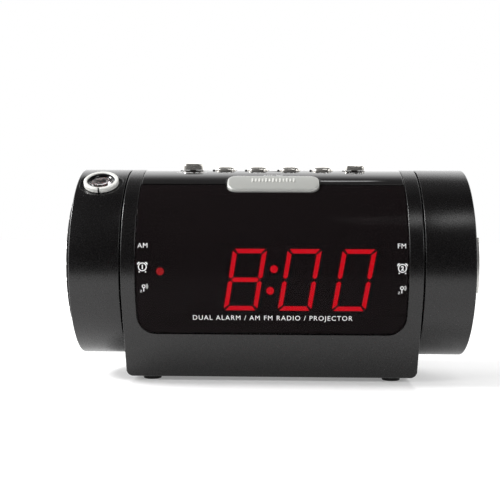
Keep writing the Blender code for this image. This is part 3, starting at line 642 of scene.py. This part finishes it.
def make_rear_cabinet():
    half = hollow_half("rear_cabinet", 1, 45)
    seat = sheet(4, PANEL_REAR_ANGLE - 0.2, -PAST, SEAT_DEPTH)
    combine(half, prism(seat, -PANEL_X - GAP / 2, PANEL_X + GAP / 2))
    ledge = sheet(4, PANEL_REAR_ANGLE + 2.5, -PAST, CUT_DEPTH)
    combine(half, prism(ledge, -PANEL_X + LEDGE_WIDTH, PANEL_X - LEDGE_WIDTH))
    for name in ("volume_wheel", "tuning_wheel"):
        middle = centre(name)[0]
        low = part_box(name)[0][2] - AXIS_Z
        slot_high = (middle + WHEEL_SLOT_HALF, 60 * MM, low + WHEEL_THICKNESS + GAP)
        combine(half, block((middle - WHEEL_SLOT_HALF, 30 * MM, low - GAP), slot_high))
    vents = [block((x * MM - 0.8 * MM, 36 * MM, -2 * MM), (x * MM + 0.8 * MM, 60 * MM, 16 * MM))
             for x in range(-24, 25, 6)]
    combine(half, merged(*vents))
    door_low, door_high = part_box("battery_door")
    notch_low = (door_low[0] - GAP, 15 * MM, -BASE_DROP - MM)
    combine(half, block(notch_low, (door_high[0] + GAP, 40 * MM, door_high[2] - AXIS_Z + GAP)))
    combine(half, moved(rod(3.8 * MM, -10 * MM, 10 * MM), GLAND_SPOT, GLAND_TILT))
    finish_half(half, "rear_cabinet")


GLAND_TILT = -(pi / 2 + SLANT)
GLAND_SPOT = (-36 * MM, -slant_point(-42 * MM, 0)[0], -42 * MM)


# ---- curved panels

def flat_plate(name, outline, holes, thickness):
    """Flat plate with openings: local X along the barrel, local Y round it towards the back."""
    plate = add(name, slab(outline, -thickness, 0))
    for hole in holes:
        combine(plate, slab(hole, -thickness - MM, MM))
    return plate


def bend(plate, low, high, profile, edge=None):
    """Slice a flat plate finely across Y, soften it, and wrap it round the barrel."""
    bm = as_bmesh(plate.data)
    bmesh.ops.triangulate(bm, faces=bm.faces)
    step = BARREL_R * radians(FINE)
    for index in range(1, int((high - low) / step)):
        geometry = bm.verts[:] + bm.edges[:] + bm.faces[:]
        spot = (0, low + index * step, 0)
        bmesh.ops.bisect_plane(bm, geom=geometry, plane_co=spot, plane_no=(0, 1, 0))
    bmesh.ops.dissolve_degenerate(bm, dist=1e-6, edges=bm.edges)
    bm.to_mesh(plate.data)
    bm.free()
    if edge:
        plate.data.materials.append(edge)
        plate.data.materials.append(edge)
    soften(plate, PLATE_EDGE_R).modifiers["soften"].material = 1 if edge else -1
    bake(plate)
    for vertex in plate.data.vertices:
        vertex.co = profile(*vertex.co)
    plate.data.update()


def wrap_round(x, along, height):
    """Place of a flat point once it is wrapped round the barrel; 0 along is straight up."""
    angle = along / BARREL_R
    radius = BARREL_R + height
    return Vector((x, radius * sin(angle), radius * cos(angle)))


def wrap_front(x, along, height):
    """As wrap_round, but past the tangent it runs straight down the slanted face."""
    tangent = around(TANGENT_ANGLE)
    if along >= tangent:
        return wrap_round(x, along, height)
    down = Vector((0, sin(SLANT), -cos(SLANT)))
    return wrap_round(x, tangent, height) + down * (tangent - along)


def wrap_window(x, along, height):
    """The window's face lies a hair behind the cabinet's, so that the prints on it stay inside."""
    return wrap_front(x, along, height - WINDOW_RECESS)


def shifted(outline, x, along):
    """Outline moved over the flat plate."""
    return [(px + x, py + along) for px, py in outline]


def around(angle):
    """Distance round the barrel for an angle from straight up towards the front."""
    return -BARREL_R * radians(angle)


def snooze_notch():
    """Opening for the snooze bar in a flat plate."""
    return shifted(bar(GAP), SNOOZE_X, around(SNOOZE_ANGLE))


def control_holes():
    """Openings of the top panel for its six controls."""
    holes = []
    for number, x in enumerate(CONTROL_X):
        slot = rounded((SLOT_LENGTH, STEM_SIZE[1]), 0.5 * MM, GAP)
        hole = slot if number in SLIDER_NUMBERS else oval(BUTTON_SIZE, grow=GAP)
        holes.append(shifted(hole, x, around(CONTROL_ANGLE)))
    return holes


def make_top_panel():
    low = around(SEAM_ANGLE - 0.12)
    high = around(PANEL_REAR_ANGLE)
    outline = [(-PANEL_X, low), (PANEL_X, low), (PANEL_X, high), (-PANEL_X, high)]
    panel = flat_plate("top_panel_moulding", outline, control_holes() + [snooze_notch()], SKIN)
    bend(panel, low, high, wrap_round)
    piece(panel, GLOSS, "top_panel")


def make_window():
    high = around(SEAM_ANGLE + 0.12)
    drop = round_point(TANGENT_ANGLE, 0)[1] - WINDOW_BOTTOM_Z
    low = around(TANGENT_ANGLE) - drop / cos(SLANT)
    outline = apron(PANEL_X, high, low, WINDOW_CORNER_R)
    window = flat_plate("window_moulding", outline, [snooze_notch()], SKIN)
    bend(window, low, high, wrap_window, EDGE)
    piece(window, SMOKED, "front_window", slot="smoked_window")
    window.data.materials.append(EDGE)


def make_mask():
    """Black screen behind the window, open over the display module."""
    low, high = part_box("display_module")
    outline = skin_outline(SEAM_ANGLE, WINDOW_BOTTOM_Z - 12 * MM, 2.1 * MM, 2.4 * MM)
    screen = add("display_mask_screen", opening(prism(outline, -FAR, FAR), -0.5 * MM))
    clear_low = (low[0] + MM, -FAR, low[2] - AXIS_Z + 0.6 * MM)
    combine(screen, block(clear_low, (high[0] - MM, 0, high[2] - AXIS_Z - 0.6 * MM)))
    piece(screen, MASK)


# ---- display

def digit_segments():
    """Mitred outlines of the seven segments, upright, with the lower left corner at 0, 0."""
    gap = 0.55 * MM
    thick = SEGMENT
    half = thick / 2
    width, height = DIGIT_WIDTH, DIGIT_HEIGHT
    middle = height / 2
    mitre = gap * 0.7
    near = thick + gap * 0.5
    far = width - thick - gap * 0.5
    top = [(mitre + gap, height), (width - mitre - gap, height), (width - thick - gap, height - thick),
           (thick + gap, height - thick)]
    upper = [(0, height - mitre - gap), (thick, height - thick - gap), (thick, middle + half + gap * 0.6),
             (half, middle + gap), (0, middle + half + gap * 0.6)]
    bridge = [(half + gap, middle), (near, middle + half), (far, middle + half),
              (width - half - gap, middle), (far, middle - half), (near, middle - half)]
    shapes = {"top": top, "upper_left": upper, "middle": bridge}
    shapes["upper_right"] = [(width - x, y) for x, y in upper][::-1]
    shapes["lower_left"] = [(x, height - y) for x, y in upper][::-1]
    shapes["lower_right"] = [(width - x, height - y) for x, y in upper]
    shapes["bottom"] = [(x, height - y) for x, y in top][::-1]
    return shapes


def module_front(z):
    """Y of the display module's slanted face at a height over the axis."""
    low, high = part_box("display_module")
    return low[1] + MODULE_LEAN * (high[2] - AXIS_Z - z) / (high[2] - low[2])


def front_plate(outline):
    """Outline in the front view (x, z) as a thin plate on the module's face."""
    lift = 0.05 * MM
    return loft([[(x, module_front(z) - raised, z) for x, z in outline]
                 for raised in (lift + 0.35 * MM, lift)])


def lean(points, x):
    """Slant the digit to the right and move it to its place."""
    return [(x + px + py * DIGIT_LEAN, DIGIT_LOW_Z + py) for px, py in points]


def make_display():
    lit = []
    dark = []
    for place, digit in enumerate(" 800"):
        x = DIGIT_FIRST_X + place * DIGIT_PITCH
        for name, shape in digit_segments().items():
            on = digit == "8" or (digit == "0" and name != "middle")
            (lit if on else dark).append(front_plate(lean(shape, x)))
    lit += [front_plate(circle(x, z, DOT_R)) for x, z in in_mm((1.15, -2.1), (-0.65, -12.6))]
    piece(add("lit_segments", merged(*lit)), RED_GLOW, slot="smoked_window")
    piece(add("unlit_segments", merged(*dark)), UNLIT, slot="smoked_window")
    for name, look, x in (("alarm_one_light", RED_DIM, -53.6 * MM), ("alarm_two_light", UNLIT, 53.6 * MM)):
        light = add(name, front_plate(circle(x, -3.5 * MM, DOT_R)))
        piece(light, look, slot="smoked_window")


# ---- printing

def text_mesh(text, height, spacing=1.0, bold=0.0):
    """Flat lettering as a bmesh, its middle at the origin and its capitals of a given height."""
    curve = bpy.data.curves.new("lettering", "FONT")
    curve.body = text
    curve.align_x = "CENTER"
    curve.space_character = spacing
    curve.offset = bold
    curve.resolution_u = 4
    holder = put("lettering", curve)
    bpy.context.view_layer.update()
    mesh = evaluated(holder)
    bm = as_bmesh(mesh)
    bpy.data.objects.remove(holder, do_unlink=True)
    bpy.data.meshes.remove(mesh)
    scale = height / CAPITAL
    across = [vertex.co.x for vertex in bm.verts]
    middle = (min(across) + max(across)) / 2
    for vertex in bm.verts:
        vertex.co = Vector(((vertex.co.x - middle) * scale, vertex.co.y * scale - height / 2, 0))
    return bm


def thicken(bm):
    """Give a flat print a little body."""
    bmesh.ops.remove_doubles(bm, verts=bm.verts, dist=1e-6)
    bmesh.ops.recalc_face_normals(bm, faces=bm.faces)
    whole = bmesh.ops.extrude_face_region(bm, geom=bm.faces[:])
    raised = [item for item in whole["geom"] if isinstance(item, bmesh.types.BMVert)]
    for vertex in raised:
        vertex.co.z += PRINT


def printed(name, parts, lay):
    """White prints laid on a surface. Each part is (flat bmesh, x, y) in the surface's own plane."""
    for bm, x, y in parts:
        thicken(bm)
        for vertex in bm.verts:
            vertex.co = lay(vertex.co.x + x, vertex.co.y + y, vertex.co.z)
    piece(add(name, merged(*[part[0] for part in parts])), INK, slot="silver_plastic")


def on_window(x, z, lift):
    """Place on the window's face for a point of the front view, z above the barrel's axis."""
    return Vector((x, front_y(z) + WINDOW_RECESS - PRINT_SINK - lift, z))


def on_panel(x, along, lift):
    """Place on the top panel, with the distance round the barrel as wrap_round takes it."""
    return wrap_round(x, along, lift + PRINT_SINK)


def outline_mesh(*outlines):
    """Flat faces from outlines in the plane of a print."""
    bm = bmesh.new()
    for outline in outlines:
        bm.faces.new([bm.verts.new((x, y, 0)) for x, y in outline])
    return bm


def annulus(radius, inner, x=0.0, y=0.0, start=0.0, end=TURN, steps=32):
    """Flat ring or part of one."""
    bm = bmesh.new()
    rows = []
    for step in range(steps + 1):
        spot = start + (end - start) * step / steps
        rows.append([bm.verts.new((x + r * cos(spot), y + r * sin(spot), 0)) for r in (inner, radius)])
    for first, second in zip(rows, rows[1:]):
        bm.faces.new((first[0], first[1], second[1], second[0]))
    return bm


def strip(start, end, width):
    """Flat straight stroke."""
    sx, sy = start
    ex, ey = end
    length = hypot(ex - sx, ey - sy)
    nx, ny = -(ey - sy) / length * width / 2, (ex - sx) / length * width / 2
    return outline_mesh([(sx + nx, sy + ny), (sx - nx, sy - ny), (ex - nx, ey - ny), (ex + nx, ey + ny)])


def clock_icon(number):
    """Alarm clock with bells and feet, and its number in the middle."""
    bells = []
    for side in (-1, 1):
        bell = outline_mesh(in_mm((-0.9, 0), (0.9, 0), (0.62, 0.62), (-0.62, 0.62)))
        bells.append(moved(bell, (side * 1.72 * MM, 1.55 * MM, 0), side * -radians(46), "Z"))
    feet = [annulus(0.33 * MM, 0.001 * MM, side * 1.5 * MM, -2.35 * MM, steps=12) for side in (-1, 1)]
    face = annulus(2.1 * MM, 1.62 * MM)
    return merged(face, *bells, *feet, text_mesh(number, 1.9 * MM, bold=0.045))


def sleep_icon():
    """Ring on a stem with two waves beside it and a Z, for the sleep timer."""
    ring = annulus(0.9 * MM, 0.5 * MM, 0, 0.9 * MM)
    stem = strip((0.0, 0.1 * MM), (0.0, -1.6 * MM), 0.45 * MM)
    waves = [annulus(r * MM + 0.2 * MM, r * MM, 0.1 * MM, 0.9 * MM, -0.75, 0.75, 12) for r in (1.25, 1.75)]
    doze = moved(text_mesh("Z", 1.05 * MM, bold=0.01), (-1.3 * MM, -1.4 * MM, 0))
    return merged(ring, stem, *waves, doze)


def make_window_prints():
    left = -61.3 * MM
    right = 61.4 * MM
    parts = [
        (text_mesh("AM", 2.3 * MM, 1.1), left, 9.1 * MM),
        (clock_icon("1"), left + 0.1 * MM, -1.1 * MM),
        (sleep_icon(), left + 0.6 * MM, -11.3 * MM),
        (text_mesh("FM", 2.3 * MM, 1.1), right, 9.4 * MM),
        (clock_icon("2"), right + 0.2 * MM, -1.1 * MM),
        (sleep_icon(), right + 0.2 * MM, -11.4 * MM),
        (text_mesh("DUAL ALARM / AM FM RADIO / PROJECTOR", 2.3 * MM, 1.2), 0.6 * MM, -25.6 * MM),
    ]
    printed("window_legends", parts, on_window)


CONTROL_WORDS = ("ON OFF AUTO", "HOUR", "MIN", "AL.1", "AL.2", "AM  FM")


def make_panel_prints():
    """Small legends in front of the controls, and a pip beside each control."""
    marks = [(text_mesh(word, 1.5 * MM, 1.08), x, around(17.4))
             for word, x in zip(CONTROL_WORDS, CONTROL_X)]
    marks.append((text_mesh("SLEEP / NAP", 1.2 * MM, 1.05), SNOOZE_X, around(22.3)))
    printed("panel_legends", marks, on_panel)
    pips = []
    for number, x in enumerate(CONTROL_X):
        tall = 0.4 * MM if number in SLIDER_NUMBERS else 0.75 * MM
        profile = [(0, 0), (0.62 * MM, 0), (0.62 * MM, tall, True), (0, tall + 0.1 * MM)]
        spot = wrap_round(x - 5.9 * MM, around(PIP_ANGLE), -0.2 * MM)
        pips.append(moved(turn(rolled(profile, 0.25 * MM, 3), 20), spot, radians(PIP_ANGLE)))
    piece(add("panel_pips", merged(*pips)), MATT)


# ---- drums and discs

def drum_profile(side, inner_r, lip_r):
    """Cup with a wall beside the cradle, a rounded rim and a lip at its outer end."""
    bore = BARREL_R - 3 * MM
    start = DRUM_START_X
    end = DRUM_END_X
    back = start + (2.4 * MM if side < 0 else 5 * MM)
    edge = 0.6 * MM
    fillet = 0.35 * MM
    points = [(inner_r, start), (BARREL_R - fillet, start)]
    points += [(BARREL_R - fillet + fillet * sin(spot), start + fillet - fillet * cos(spot))
               for spot in quarter(4)[1:]]
    points += [(BARREL_R - edge + edge * cos(spot), end - edge + edge * sin(spot)) for spot in quarter(12)]
    points += [(lip_r, end), (lip_r, end - 2.3 * MM), (bore, end - 2.3 * MM), (bore, back), (inner_r, back)]
    return [(radius, side * along) for radius, along in points]


def make_drums():
    for name, node_name, body, side, inner_r, lip_r in (
            ("projector_drum_moulding", "projector_drum", "projector", -1, SPINDLE_HOLE_R, 34 * MM),
            ("speaker_drum_moulding", "right_drum", "cabinet", 1, 18 * MM, 31 * MM)):
        drum = add(name, turn(drum_profile(side, inner_r, lip_r), 240, "X"), sharp=32)
        if side < 0:
            seat = turned_frame(LENS_ANGLE, LENS_X)
            combine(drum, rod(SEAT_R, SEAT_H, 55 * MM, 96), place=seat)
            combine(drum, rod(BARREL_HOLE_R, 38 * MM, 55 * MM, 96), place=seat)
            soften(drum, 0.25 * MM, 2)
        piece(drum, SATIN, node_name, body=body)


def dome(edge, drop=0.0, rings=14):
    """Profile of the disc's outer surface, from its middle to a radius."""
    radii = [edge * index / rings for index in range(rings + 1)]
    return [(radius, DISC_CROWN_X - drop - DISC_RISE * (radius / DISC_R) ** 2) for radius in radii]


def disc_profile(skirt_r, drop):
    """Domed disc with a rolled rim and a skirt that plugs into the drum's lip."""
    seat = DRUM_END_X + GAP
    inner_r = skirt_r - 1.4 * MM
    fillet = 0.4 * MM
    points = dome(DISC_R - fillet, drop)
    top = points[-1][1]
    points += [(DISC_R - fillet + fillet * sin(spot), top - fillet + fillet * cos(spot))
               for spot in quarter(5)[1:]]
    return points + [(DISC_R, seat), (skirt_r, seat), (skirt_r, seat - 3 * MM), (inner_r, seat - 3 * MM),
                     (inner_r, DISC_RIM_X - drop - 1.2 * MM), (0, DISC_CROWN_X - drop - 1.6 * MM)]


def make_discs():
    for name, node_name, body, side, skirt, drop in (
            ("projector_cap_dome", "projector_cap", "projector", -1, 33.4 * MM, 0.0),
            ("speaker_grille_dome", "speaker_grille", "cabinet", 1, 30.4 * MM, BAND_RISE)):
        profile = [(radius, side * along) for radius, along in disc_profile(skirt, drop)]
        disc = add(name, turn(profile, 180, "X"))
        nick = block((-3 * MM, 35.6 * MM, -0.7 * MM), (3 * MM, 40 * MM, 0.7 * MM))
        combine(disc, all_round(nick, 30, side * (DISC_RIM_X - drop + 1.4 * MM)))
        if side > 0:
            combine(disc, speaker_slots())
        soften(disc, 0.15 * MM, 2)
        piece(disc, CAP, node_name, body=body)
    section = dome(DISC_R - 0.3 * MM)
    section += [(radius, height - BAND_RISE - 0.3 * MM) for radius, height in section[::-1]]
    band = add("speaker_grille_band", turn(section, 180, "X"))
    combine(band, block((0, -FAR, -BAND_HALF), (FAR, FAR, BAND_HALF)), "INTERSECT")
    combine(band, speaker_slots())
    soften(band, 0.25 * MM, 2)
    piece(band, SILVER, slot="silver_plastic")


def all_round(part, count, x):
    """Copies of a solid at equal angles round the X axis, all shifted along it."""
    copies = []
    for index in range(count):
        copy = part.copy()
        turned = Matrix.Rotation(radians(360 / count * index), 3, "X")
        bmesh.ops.rotate(copy, verts=copy.verts, matrix=turned)
        copies.append(moved(copy, (x, 0, 0)))
    part.free()
    return merged(*copies)


def speaker_slots():
    """Twelve radial slots in the disc on the speaker's side."""
    outline = shifted(rounded((15 * MM, 2 * MM), 0.99 * MM), 19.5 * MM, 0)
    return all_round(prism(outline, -6 * MM, 8 * MM), 12, DISC_RIM_X)


# ---- projector optics

def rolled(profile, radius, steps=5):
    """Closed profile whose points of the kind (r, h, True) become round corners."""
    points = []
    for index, (r, h, *corner) in enumerate(profile):
        if not corner:
            points.append((r, h))
            continue
        here = Vector((r, h))
        before = Vector(profile[index - 1][:2])
        after = Vector(profile[(index + 1) % len(profile)][:2])
        start = here + (before - here).normalized() * radius
        end = here + (after - here).normalized() * radius
        for step in range(steps + 1):
            share = step / steps
            spot = start * (1 - share) ** 2 + here * 2 * share * (1 - share) + end * share ** 2
            points.append((spot.x, spot.y))
    return points


def make_optics():
    place = turned_frame(LENS_ANGLE, LENS_X)
    low = SEAT_H + 0.35 * MM
    ring = [(RING_BORE, RING_TOP, True), (RING_R, RING_TOP, True), (RING_R, low), (6.7 * MM, low)]
    ring += in_mm((6.7, 41), (5.9, 41), (5.9, 46.5), (6.3, 46.7), (6.3, 47.3)) + [(RING_BORE, 47.5 * MM)]
    focus = add("focus_ring_moulding", turn(rolled(ring, 0.45 * MM)[::-1], 120), place)
    notch = block((-0.5 * MM, -10 * MM, 46 * MM), (0.5 * MM, -7.1 * MM, 52 * MM))
    combine(focus, notch, place=place)
    piece(focus, PEARL_PAINT_AND_RIB_HIGHLIGHT, "focus_ring", body="focus", slot="silver_plastic")
    mark = block((-0.48 * MM, -8.1 * MM, 46.7 * MM), (0.48 * MM, -7.12 * MM, 48.5 * MM))
    piece(add("focus_index_mark", mark, place), MATT, body="focus")
    cell = in_mm((5.4, 46.45), (6.2, 46.95), (6.2, 47.4), (6.65, 47.65), (6.65, 48.5, True), (6.1, 48.3),
                 (5.4, 47.8))
    holder = add("projector_lens_cell", turn(rolled(cell, 0.12 * MM), 96), place)
    piece(holder, GLOSS, "projector_lens", body="focus")
    edge = 5.35 * MM
    lens = in_mm((0, 45.6), (2, 45.65), (3.6, 45.95)) + [(edge, 46.4 * MM), (edge, 47.5 * MM)]
    rings = 10
    for index in range(1, rings + 1):
        radius = edge * (1 - index / rings)
        lens.append((radius, 48.5 * MM - MM * (radius / edge) ** 2))
    glass = add("projector_lens_moulding", turn(lens, 72), place)
    piece(glass, LENS, "projector_lens", body="focus", slot="clear")
    led = in_mm((0, 10.7), (2.6, 10.7))
    led += [(LED_R * cos(spot), 14.3 * MM + LED_R * sin(spot)) for spot in quarter(8)]
    led[-1] = (0, 16.8 * MM)
    bulb = add("projector_led_bulb", turn(led, 36), place)
    piece(bulb, LAMP, "projector_led", body="projector", slot="clear")


# ---- controls

def make_buttons():
    for name, body, x in list(zip(CONTROL_NODES, CONTROL_BODIES, CONTROL_X))[1:5]:
        levels = [(41.5, 0.3), (43.5, 0.3), (43.7, 1.24), (44.6, 1.24), (44.62, 1.0), (47.7, 1.0)]
        levels += [(47.7 + 1.85 * sin(spot), cos(spot) ** 0.62) for spot in quarter(9)[1:-1]]
        solid = stack([(oval(BUTTON_SIZE, scale=scale), level * MM) for level, scale in levels])
        key = add(name + "_cap", solid, turned_frame(CONTROL_ANGLE, x), sharp=50)
        piece(key, PLATED, name, body=body, slot="chromed_plastic")


def crowned(outline, height):
    """Points of an outline on a cylinder that runs along X."""
    return [(x, y, sqrt(height ** 2 - y ** 2)) for x, y in outline]


def make_snooze_bar():
    rings = [[(x, y, height) for x, y in bar(grow)] for grow, height in in_mm(
        (-5.2, 42.2), (-5.2, 43.2), (1, 43.3), (1, 44.3), (0, 44.35))]
    edge = 1.1 * MM
    for spot in quarter(6):
        rings.append(crowned(bar(-edge * (1 - cos(spot))), SNOOZE_TOP - edge + edge * sin(spot)))
    rings += [crowned(bar(-inset * MM), SNOOZE_TOP) for inset in (2.0, 2.8, 3.8, 5.0, 6.2)]
    place = turned_frame(SNOOZE_ANGLE, SNOOZE_X)
    key = add("snooze_bar_cap", loft(rings), place)
    piece(key, SATIN_SILVER, "snooze_bar", body="snooze_key", slot="silver_plastic")
    ribs = []
    for index in range(13):
        x = (index - 6) * 1.7 * MM
        reach = 1.3 * MM if index % 2 else 1.7 * MM
        outline = shifted(rounded((0.75 * MM, 2 * reach), 0.35 * MM), x, 1.2 * MM)
        heights = (SNOOZE_TOP - 0.1 * MM, SNOOZE_TOP + 0.3 * MM)
        ribs.append(loft([crowned(outline, height) for height in heights]))
    grip = add("snooze_bar_ribs", merged(*ribs), place)
    soften(grip, 0.12 * MM, 2)
    # the ribs take the paler pearl material as a painted highlight on their tops, lighter than the satin
    # silver bar they stand on
    piece(grip, PEARL_PAINT_AND_RIB_HIGHLIGHT, body="snooze_key", slot="silver_plastic")


def make_sliders():
    for index, top in zip(SLIDER_NUMBERS, (FUNCTION_KNOB_TOP, BAND_KNOB_TOP)):
        name = CONTROL_NODES[index]
        corner = 0.9 * MM
        rings = [(oval(STEM_SIZE, 8), 40.2 * MM), (oval(STEM_SIZE, 8), 47.9 * MM),
                 (oval(KNOB_SIZE, KNOB_CURVE), 47.95 * MM),
                 (oval(KNOB_SIZE, KNOB_CURVE, grow=-0.2 * MM), top - corner)]
        for spot in quarter(5)[1:]:
            inset = 0.2 * MM + corner * (1 - cos(spot))
            rings.append((oval(KNOB_SIZE, KNOB_CURVE, grow=-inset), top - corner * (1 - sin(spot))))
        knob = add(name + "_knob", stack(rings), turned_frame(CONTROL_ANGLE, CONTROL_X[index]), sharp=50)
        piece(knob, PLATED, name, body=CONTROL_BODIES[index], slot="chromed_plastic")


def toothed(inset):
    """Outline of a thumb wheel with shallow teeth."""
    points = []
    for step in range(WHEEL_STEPS):
        spot = TURN * step / WHEEL_STEPS
        wave = 0.3 * MM * (1 + cos(spot * TEETH))
        radius = WHEEL_R - wave - inset
        points.append((radius * cos(spot), radius * sin(spot)))
    return points


def make_wheels():
    for name, body in (("volume_wheel", "volume"), ("tuning_wheel", "tuning")):
        low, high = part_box(name)
        base = low[2] - AXIS_Z
        top = base + WHEEL_THICKNESS
        hub = circle(0, 0, 3.5 * MM, WHEEL_STEPS)
        edge = 0.4 * MM
        levels = [(toothed(edge * (1 - sin(spot))), base + edge * (1 - cos(spot))) for spot in quarter(4)]
        levels += [(toothed(edge * (1 - cos(spot))), top - edge * (1 - sin(spot))) for spot in quarter(4)]
        levels += [(hub, top), (hub, high[2] - AXIS_Z)]
        place = AXIS @ Matrix.Translation((*centre(name)[:2], 0))
        piece(add(name + "_rim", stack(levels), place), MATT, name, body=body)


# ---- underside

def rounded_copy(source, body, width, limit=35):
    """A CAD node whose shape is right, copied with rounded edges."""
    made = put(source + "_moulding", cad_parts[source].data.copy())
    bm = as_bmesh(made.data)
    bmesh.ops.remove_doubles(bm, verts=bm.verts, dist=1e-7)
    bmesh.ops.dissolve_limit(bm, angle_limit=radians(1), verts=bm.verts, edges=bm.edges)
    bm.to_mesh(made.data)
    bm.free()
    made.data.shade_smooth()
    made.data.set_sharp_from_angle(angle=radians(limit))
    if width:
        soften(made, width, 2, limit)
    piece(made, MATT, source, body=body)


def make_underside():
    rounded_copy("base_plate", "cabinet", 0)
    rounded_copy("battery_door", "door", 0.12 * MM)
    for name in ("front_left", "front_right", "rear_left", "rear_right"):
        low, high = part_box("foot_" + name)
        radius = (high[0] - low[0]) / 2
        profile = [(0, 0), (radius, 0, True), (radius, high[2]), (0, high[2])]
        place = Matrix.Translation((*centre("foot_" + name)[:2], 0))
        foot = add("foot_pad_" + name, turn(rolled(profile, 0.6 * MM), 48), place)
        piece(foot, RUBBER, "foot_" + name, slot="rubber")
        node_name = "base_screw_" + name
        place = Matrix.Translation((*centre(node_name)[:2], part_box(node_name)[0][2]))
        piece(screw("cross_screw_" + name, place), STEEL, node_name, slot="steel")


def screw(name, place):
    """Pan-head cross-recess screw that points up from its head."""
    head = 2.5 * MM
    shank = 1.2 * MM
    profile = [(0, 0)]
    profile += [(head * 0.55 + head * 0.45 * sin(spot), 0.9 * MM * (1 - cos(spot))) for spot in quarter(7)]
    profile += [(head, 1.4 * MM), (shank, 1.4 * MM), (shank, 9.5 * MM), (0, 10.5 * MM)]
    made = add(name, turn(profile, 40), place)
    for x, y in ((1.3 * MM, 0.25 * MM), (0.25 * MM, 1.3 * MM)):
        combine(made, block((-x, -y, -MM), (x, y, 0.8 * MM)), place=place)
    return made


def make_gland():
    profile = in_mm((1.9, 3.4), (1.9, -5), (3.4, -5), (3.4, 0.3), (5, 0.3), (5, 1.8, True), (3.4, 3.4, True))
    place = AXIS @ Matrix.Translation(GLAND_SPOT) @ Matrix.Rotation(GLAND_TILT, 4, "X")
    bush = add("cord_gland_bush", turn(rolled(profile, 0.4 * MM), 48), place)
    piece(bush, RUBBER, "cord_gland", slot="rubber")


# ---- stage, light and camera

def make_stage():
    """White table that ends just in front of the object."""
    made, shader = new_material("white_acrylic_floor")
    white = blend_colours(noise(shader, 3.0), (0.88, 0.88, 0.88), (0.90, 0.90, 0.90))
    fill(shader, {"Base Color": white, "Emission Color": white, "Emission Strength": 0.28,
                  "Roughness": 0.06, "IOR": 1.035})
    bm = slab([(-4, -0.25), (4, -0.25), (4, 4), (-4, 4)], -0.02, -0.02 * MM)
    floor = add("studio_floor", bm, Matrix.Identity(4))
    floor.data.materials.append(made)


def ramp(source, *points):
    """Colour ramp of grey levels over a value."""
    made = node(source, "ShaderNodeValToRGB", {"Fac": source})
    ramp_data = made.color_ramp
    ramp_data.interpolation = "EASE"
    while len(ramp_data.elements) < len(points):
        ramp_data.elements.new(0.5)
    for element, (place, level) in zip(ramp_data.elements, points):
        element.position = place
        element.color = (level, level, level, 1)
    return made.outputs["Color"]


def maths(operation, first, second):
    """Math node on a socket and a socket or number."""
    made = node(first, "ShaderNodeMath", {0: first, 1: second})
    made.operation = operation
    return made.outputs["Value"]


def make_world():
    """White studio: bright behind and at the sides, dark overhead and in front."""
    world = bpy.data.worlds.new("studio")
    bpy.context.scene.world = world
    world.use_nodes = True
    background = world.node_tree.nodes["Background"]
    place = node(background, "ShaderNodeTexCoord").outputs["Generated"]
    x, y, z = node(background, "ShaderNodeSeparateXYZ", {"Vector": place}).outputs
    back = ramp(maths("ADD", maths("MULTIPLY", y, 0.5), 0.5), (0.45, 0.0), (0.62, 1.0))
    low = ramp(z, (0.60, 1.0), (0.84, 0.07))
    side = maths("ADD", maths("MULTIPLY", x, 0.5), 0.5)
    up = maths("MAXIMUM", z, 0.0)
    left = maths("MULTIPLY", ramp(side, (0.08, 1.0), (0.19, 0.0)),
                 ramp(up, (0.02, 0.12), (0.2, 1.0), (0.6, 1.0), (0.75, 0.0)))
    flank = maths("MAXIMUM", maths("MULTIPLY", left, 0.9), ramp(side, (0.80, 0.0), (0.95, 0.25)))
    glow = maths("MULTIPLY", maths("MULTIPLY", back, low), 1.8)
    total = maths("MAXIMUM", maths("MAXIMUM", glow, flank), 0.015)
    shade = node(background, "ShaderNodeMix")
    shade.data_type = "FLOAT"
    seen = node(background, "ShaderNodeLightPath").outputs["Is Camera Ray"]
    fill(shade, {"Factor": seen, "A": total, "B": 1.0})
    fill(background, {"Strength": shade.outputs["Result"], "Color": (1, 1, 1, 1)})


def softbox(name, place, size, power):
    """Area light aimed at the middle of the object."""
    light = bpy.data.lights.new(name, "AREA")
    light.shape = "RECTANGLE"
    light.size, light.size_y = size
    light.energy = power
    made = put(name, light)
    made.location = place
    made.rotation_euler = (Vector((0, 0, AXIS_Z)) - Vector(place)).to_track_quat("-Z", "Y").to_euler()


def make_lights():
    softbox("left_front_softbox", (-1.1, -0.75, 0.65), (0.6, 0.6), 6.5)
    softbox("right_front_softbox", (1.1, -0.75, 0.65), (0.6, 0.6), 4.8)
    softbox("left_key", (-0.82, -0.12, 0.72), (0.26, 0.3), 11.5)
    softbox("front_strip", (0.262, -0.60, 0.90), (0.34, 0.2), 0.75)


def make_camera():
    """Camera that looks almost level, just above the middle of the display."""
    yaw, pitch, roll = radians(1.651), radians(-1.444), radians(0.254)
    ahead = Vector((-sin(yaw) * cos(pitch), cos(yaw) * cos(pitch), sin(pitch)))
    level_right = Vector((cos(yaw), sin(yaw), 0))
    level_up = level_right.cross(ahead)
    right = cos(roll) * level_right + sin(roll) * level_up
    up = -sin(roll) * level_right + cos(roll) * level_up
    data = bpy.data.cameras.new("camera")
    data.sensor_width = 36.0
    data.lens = 68.25
    data.clip_start = 0.01
    made = put("camera", data)
    matrix = Matrix((right, up, -ahead)).transposed().to_4x4()
    matrix.translation = Vector((2.72 * MM, -494.66 * MM, AXIS_Z + 18.44 * MM))
    made.matrix_world = matrix
    bpy.context.scene.camera = made


bpy.context.scene.view_settings.view_transform = "Standard"
for make in (make_stage, make_world, make_lights, make_camera, dress_carried_nodes, make_front_cabinet,
             make_rear_cabinet, make_top_panel, make_window, make_mask, make_display,
             make_window_prints, make_panel_prints, make_drums, make_discs, make_optics, make_buttons,
             make_snooze_bar, make_sliders, make_wheels, make_underside, make_gland):
    make()
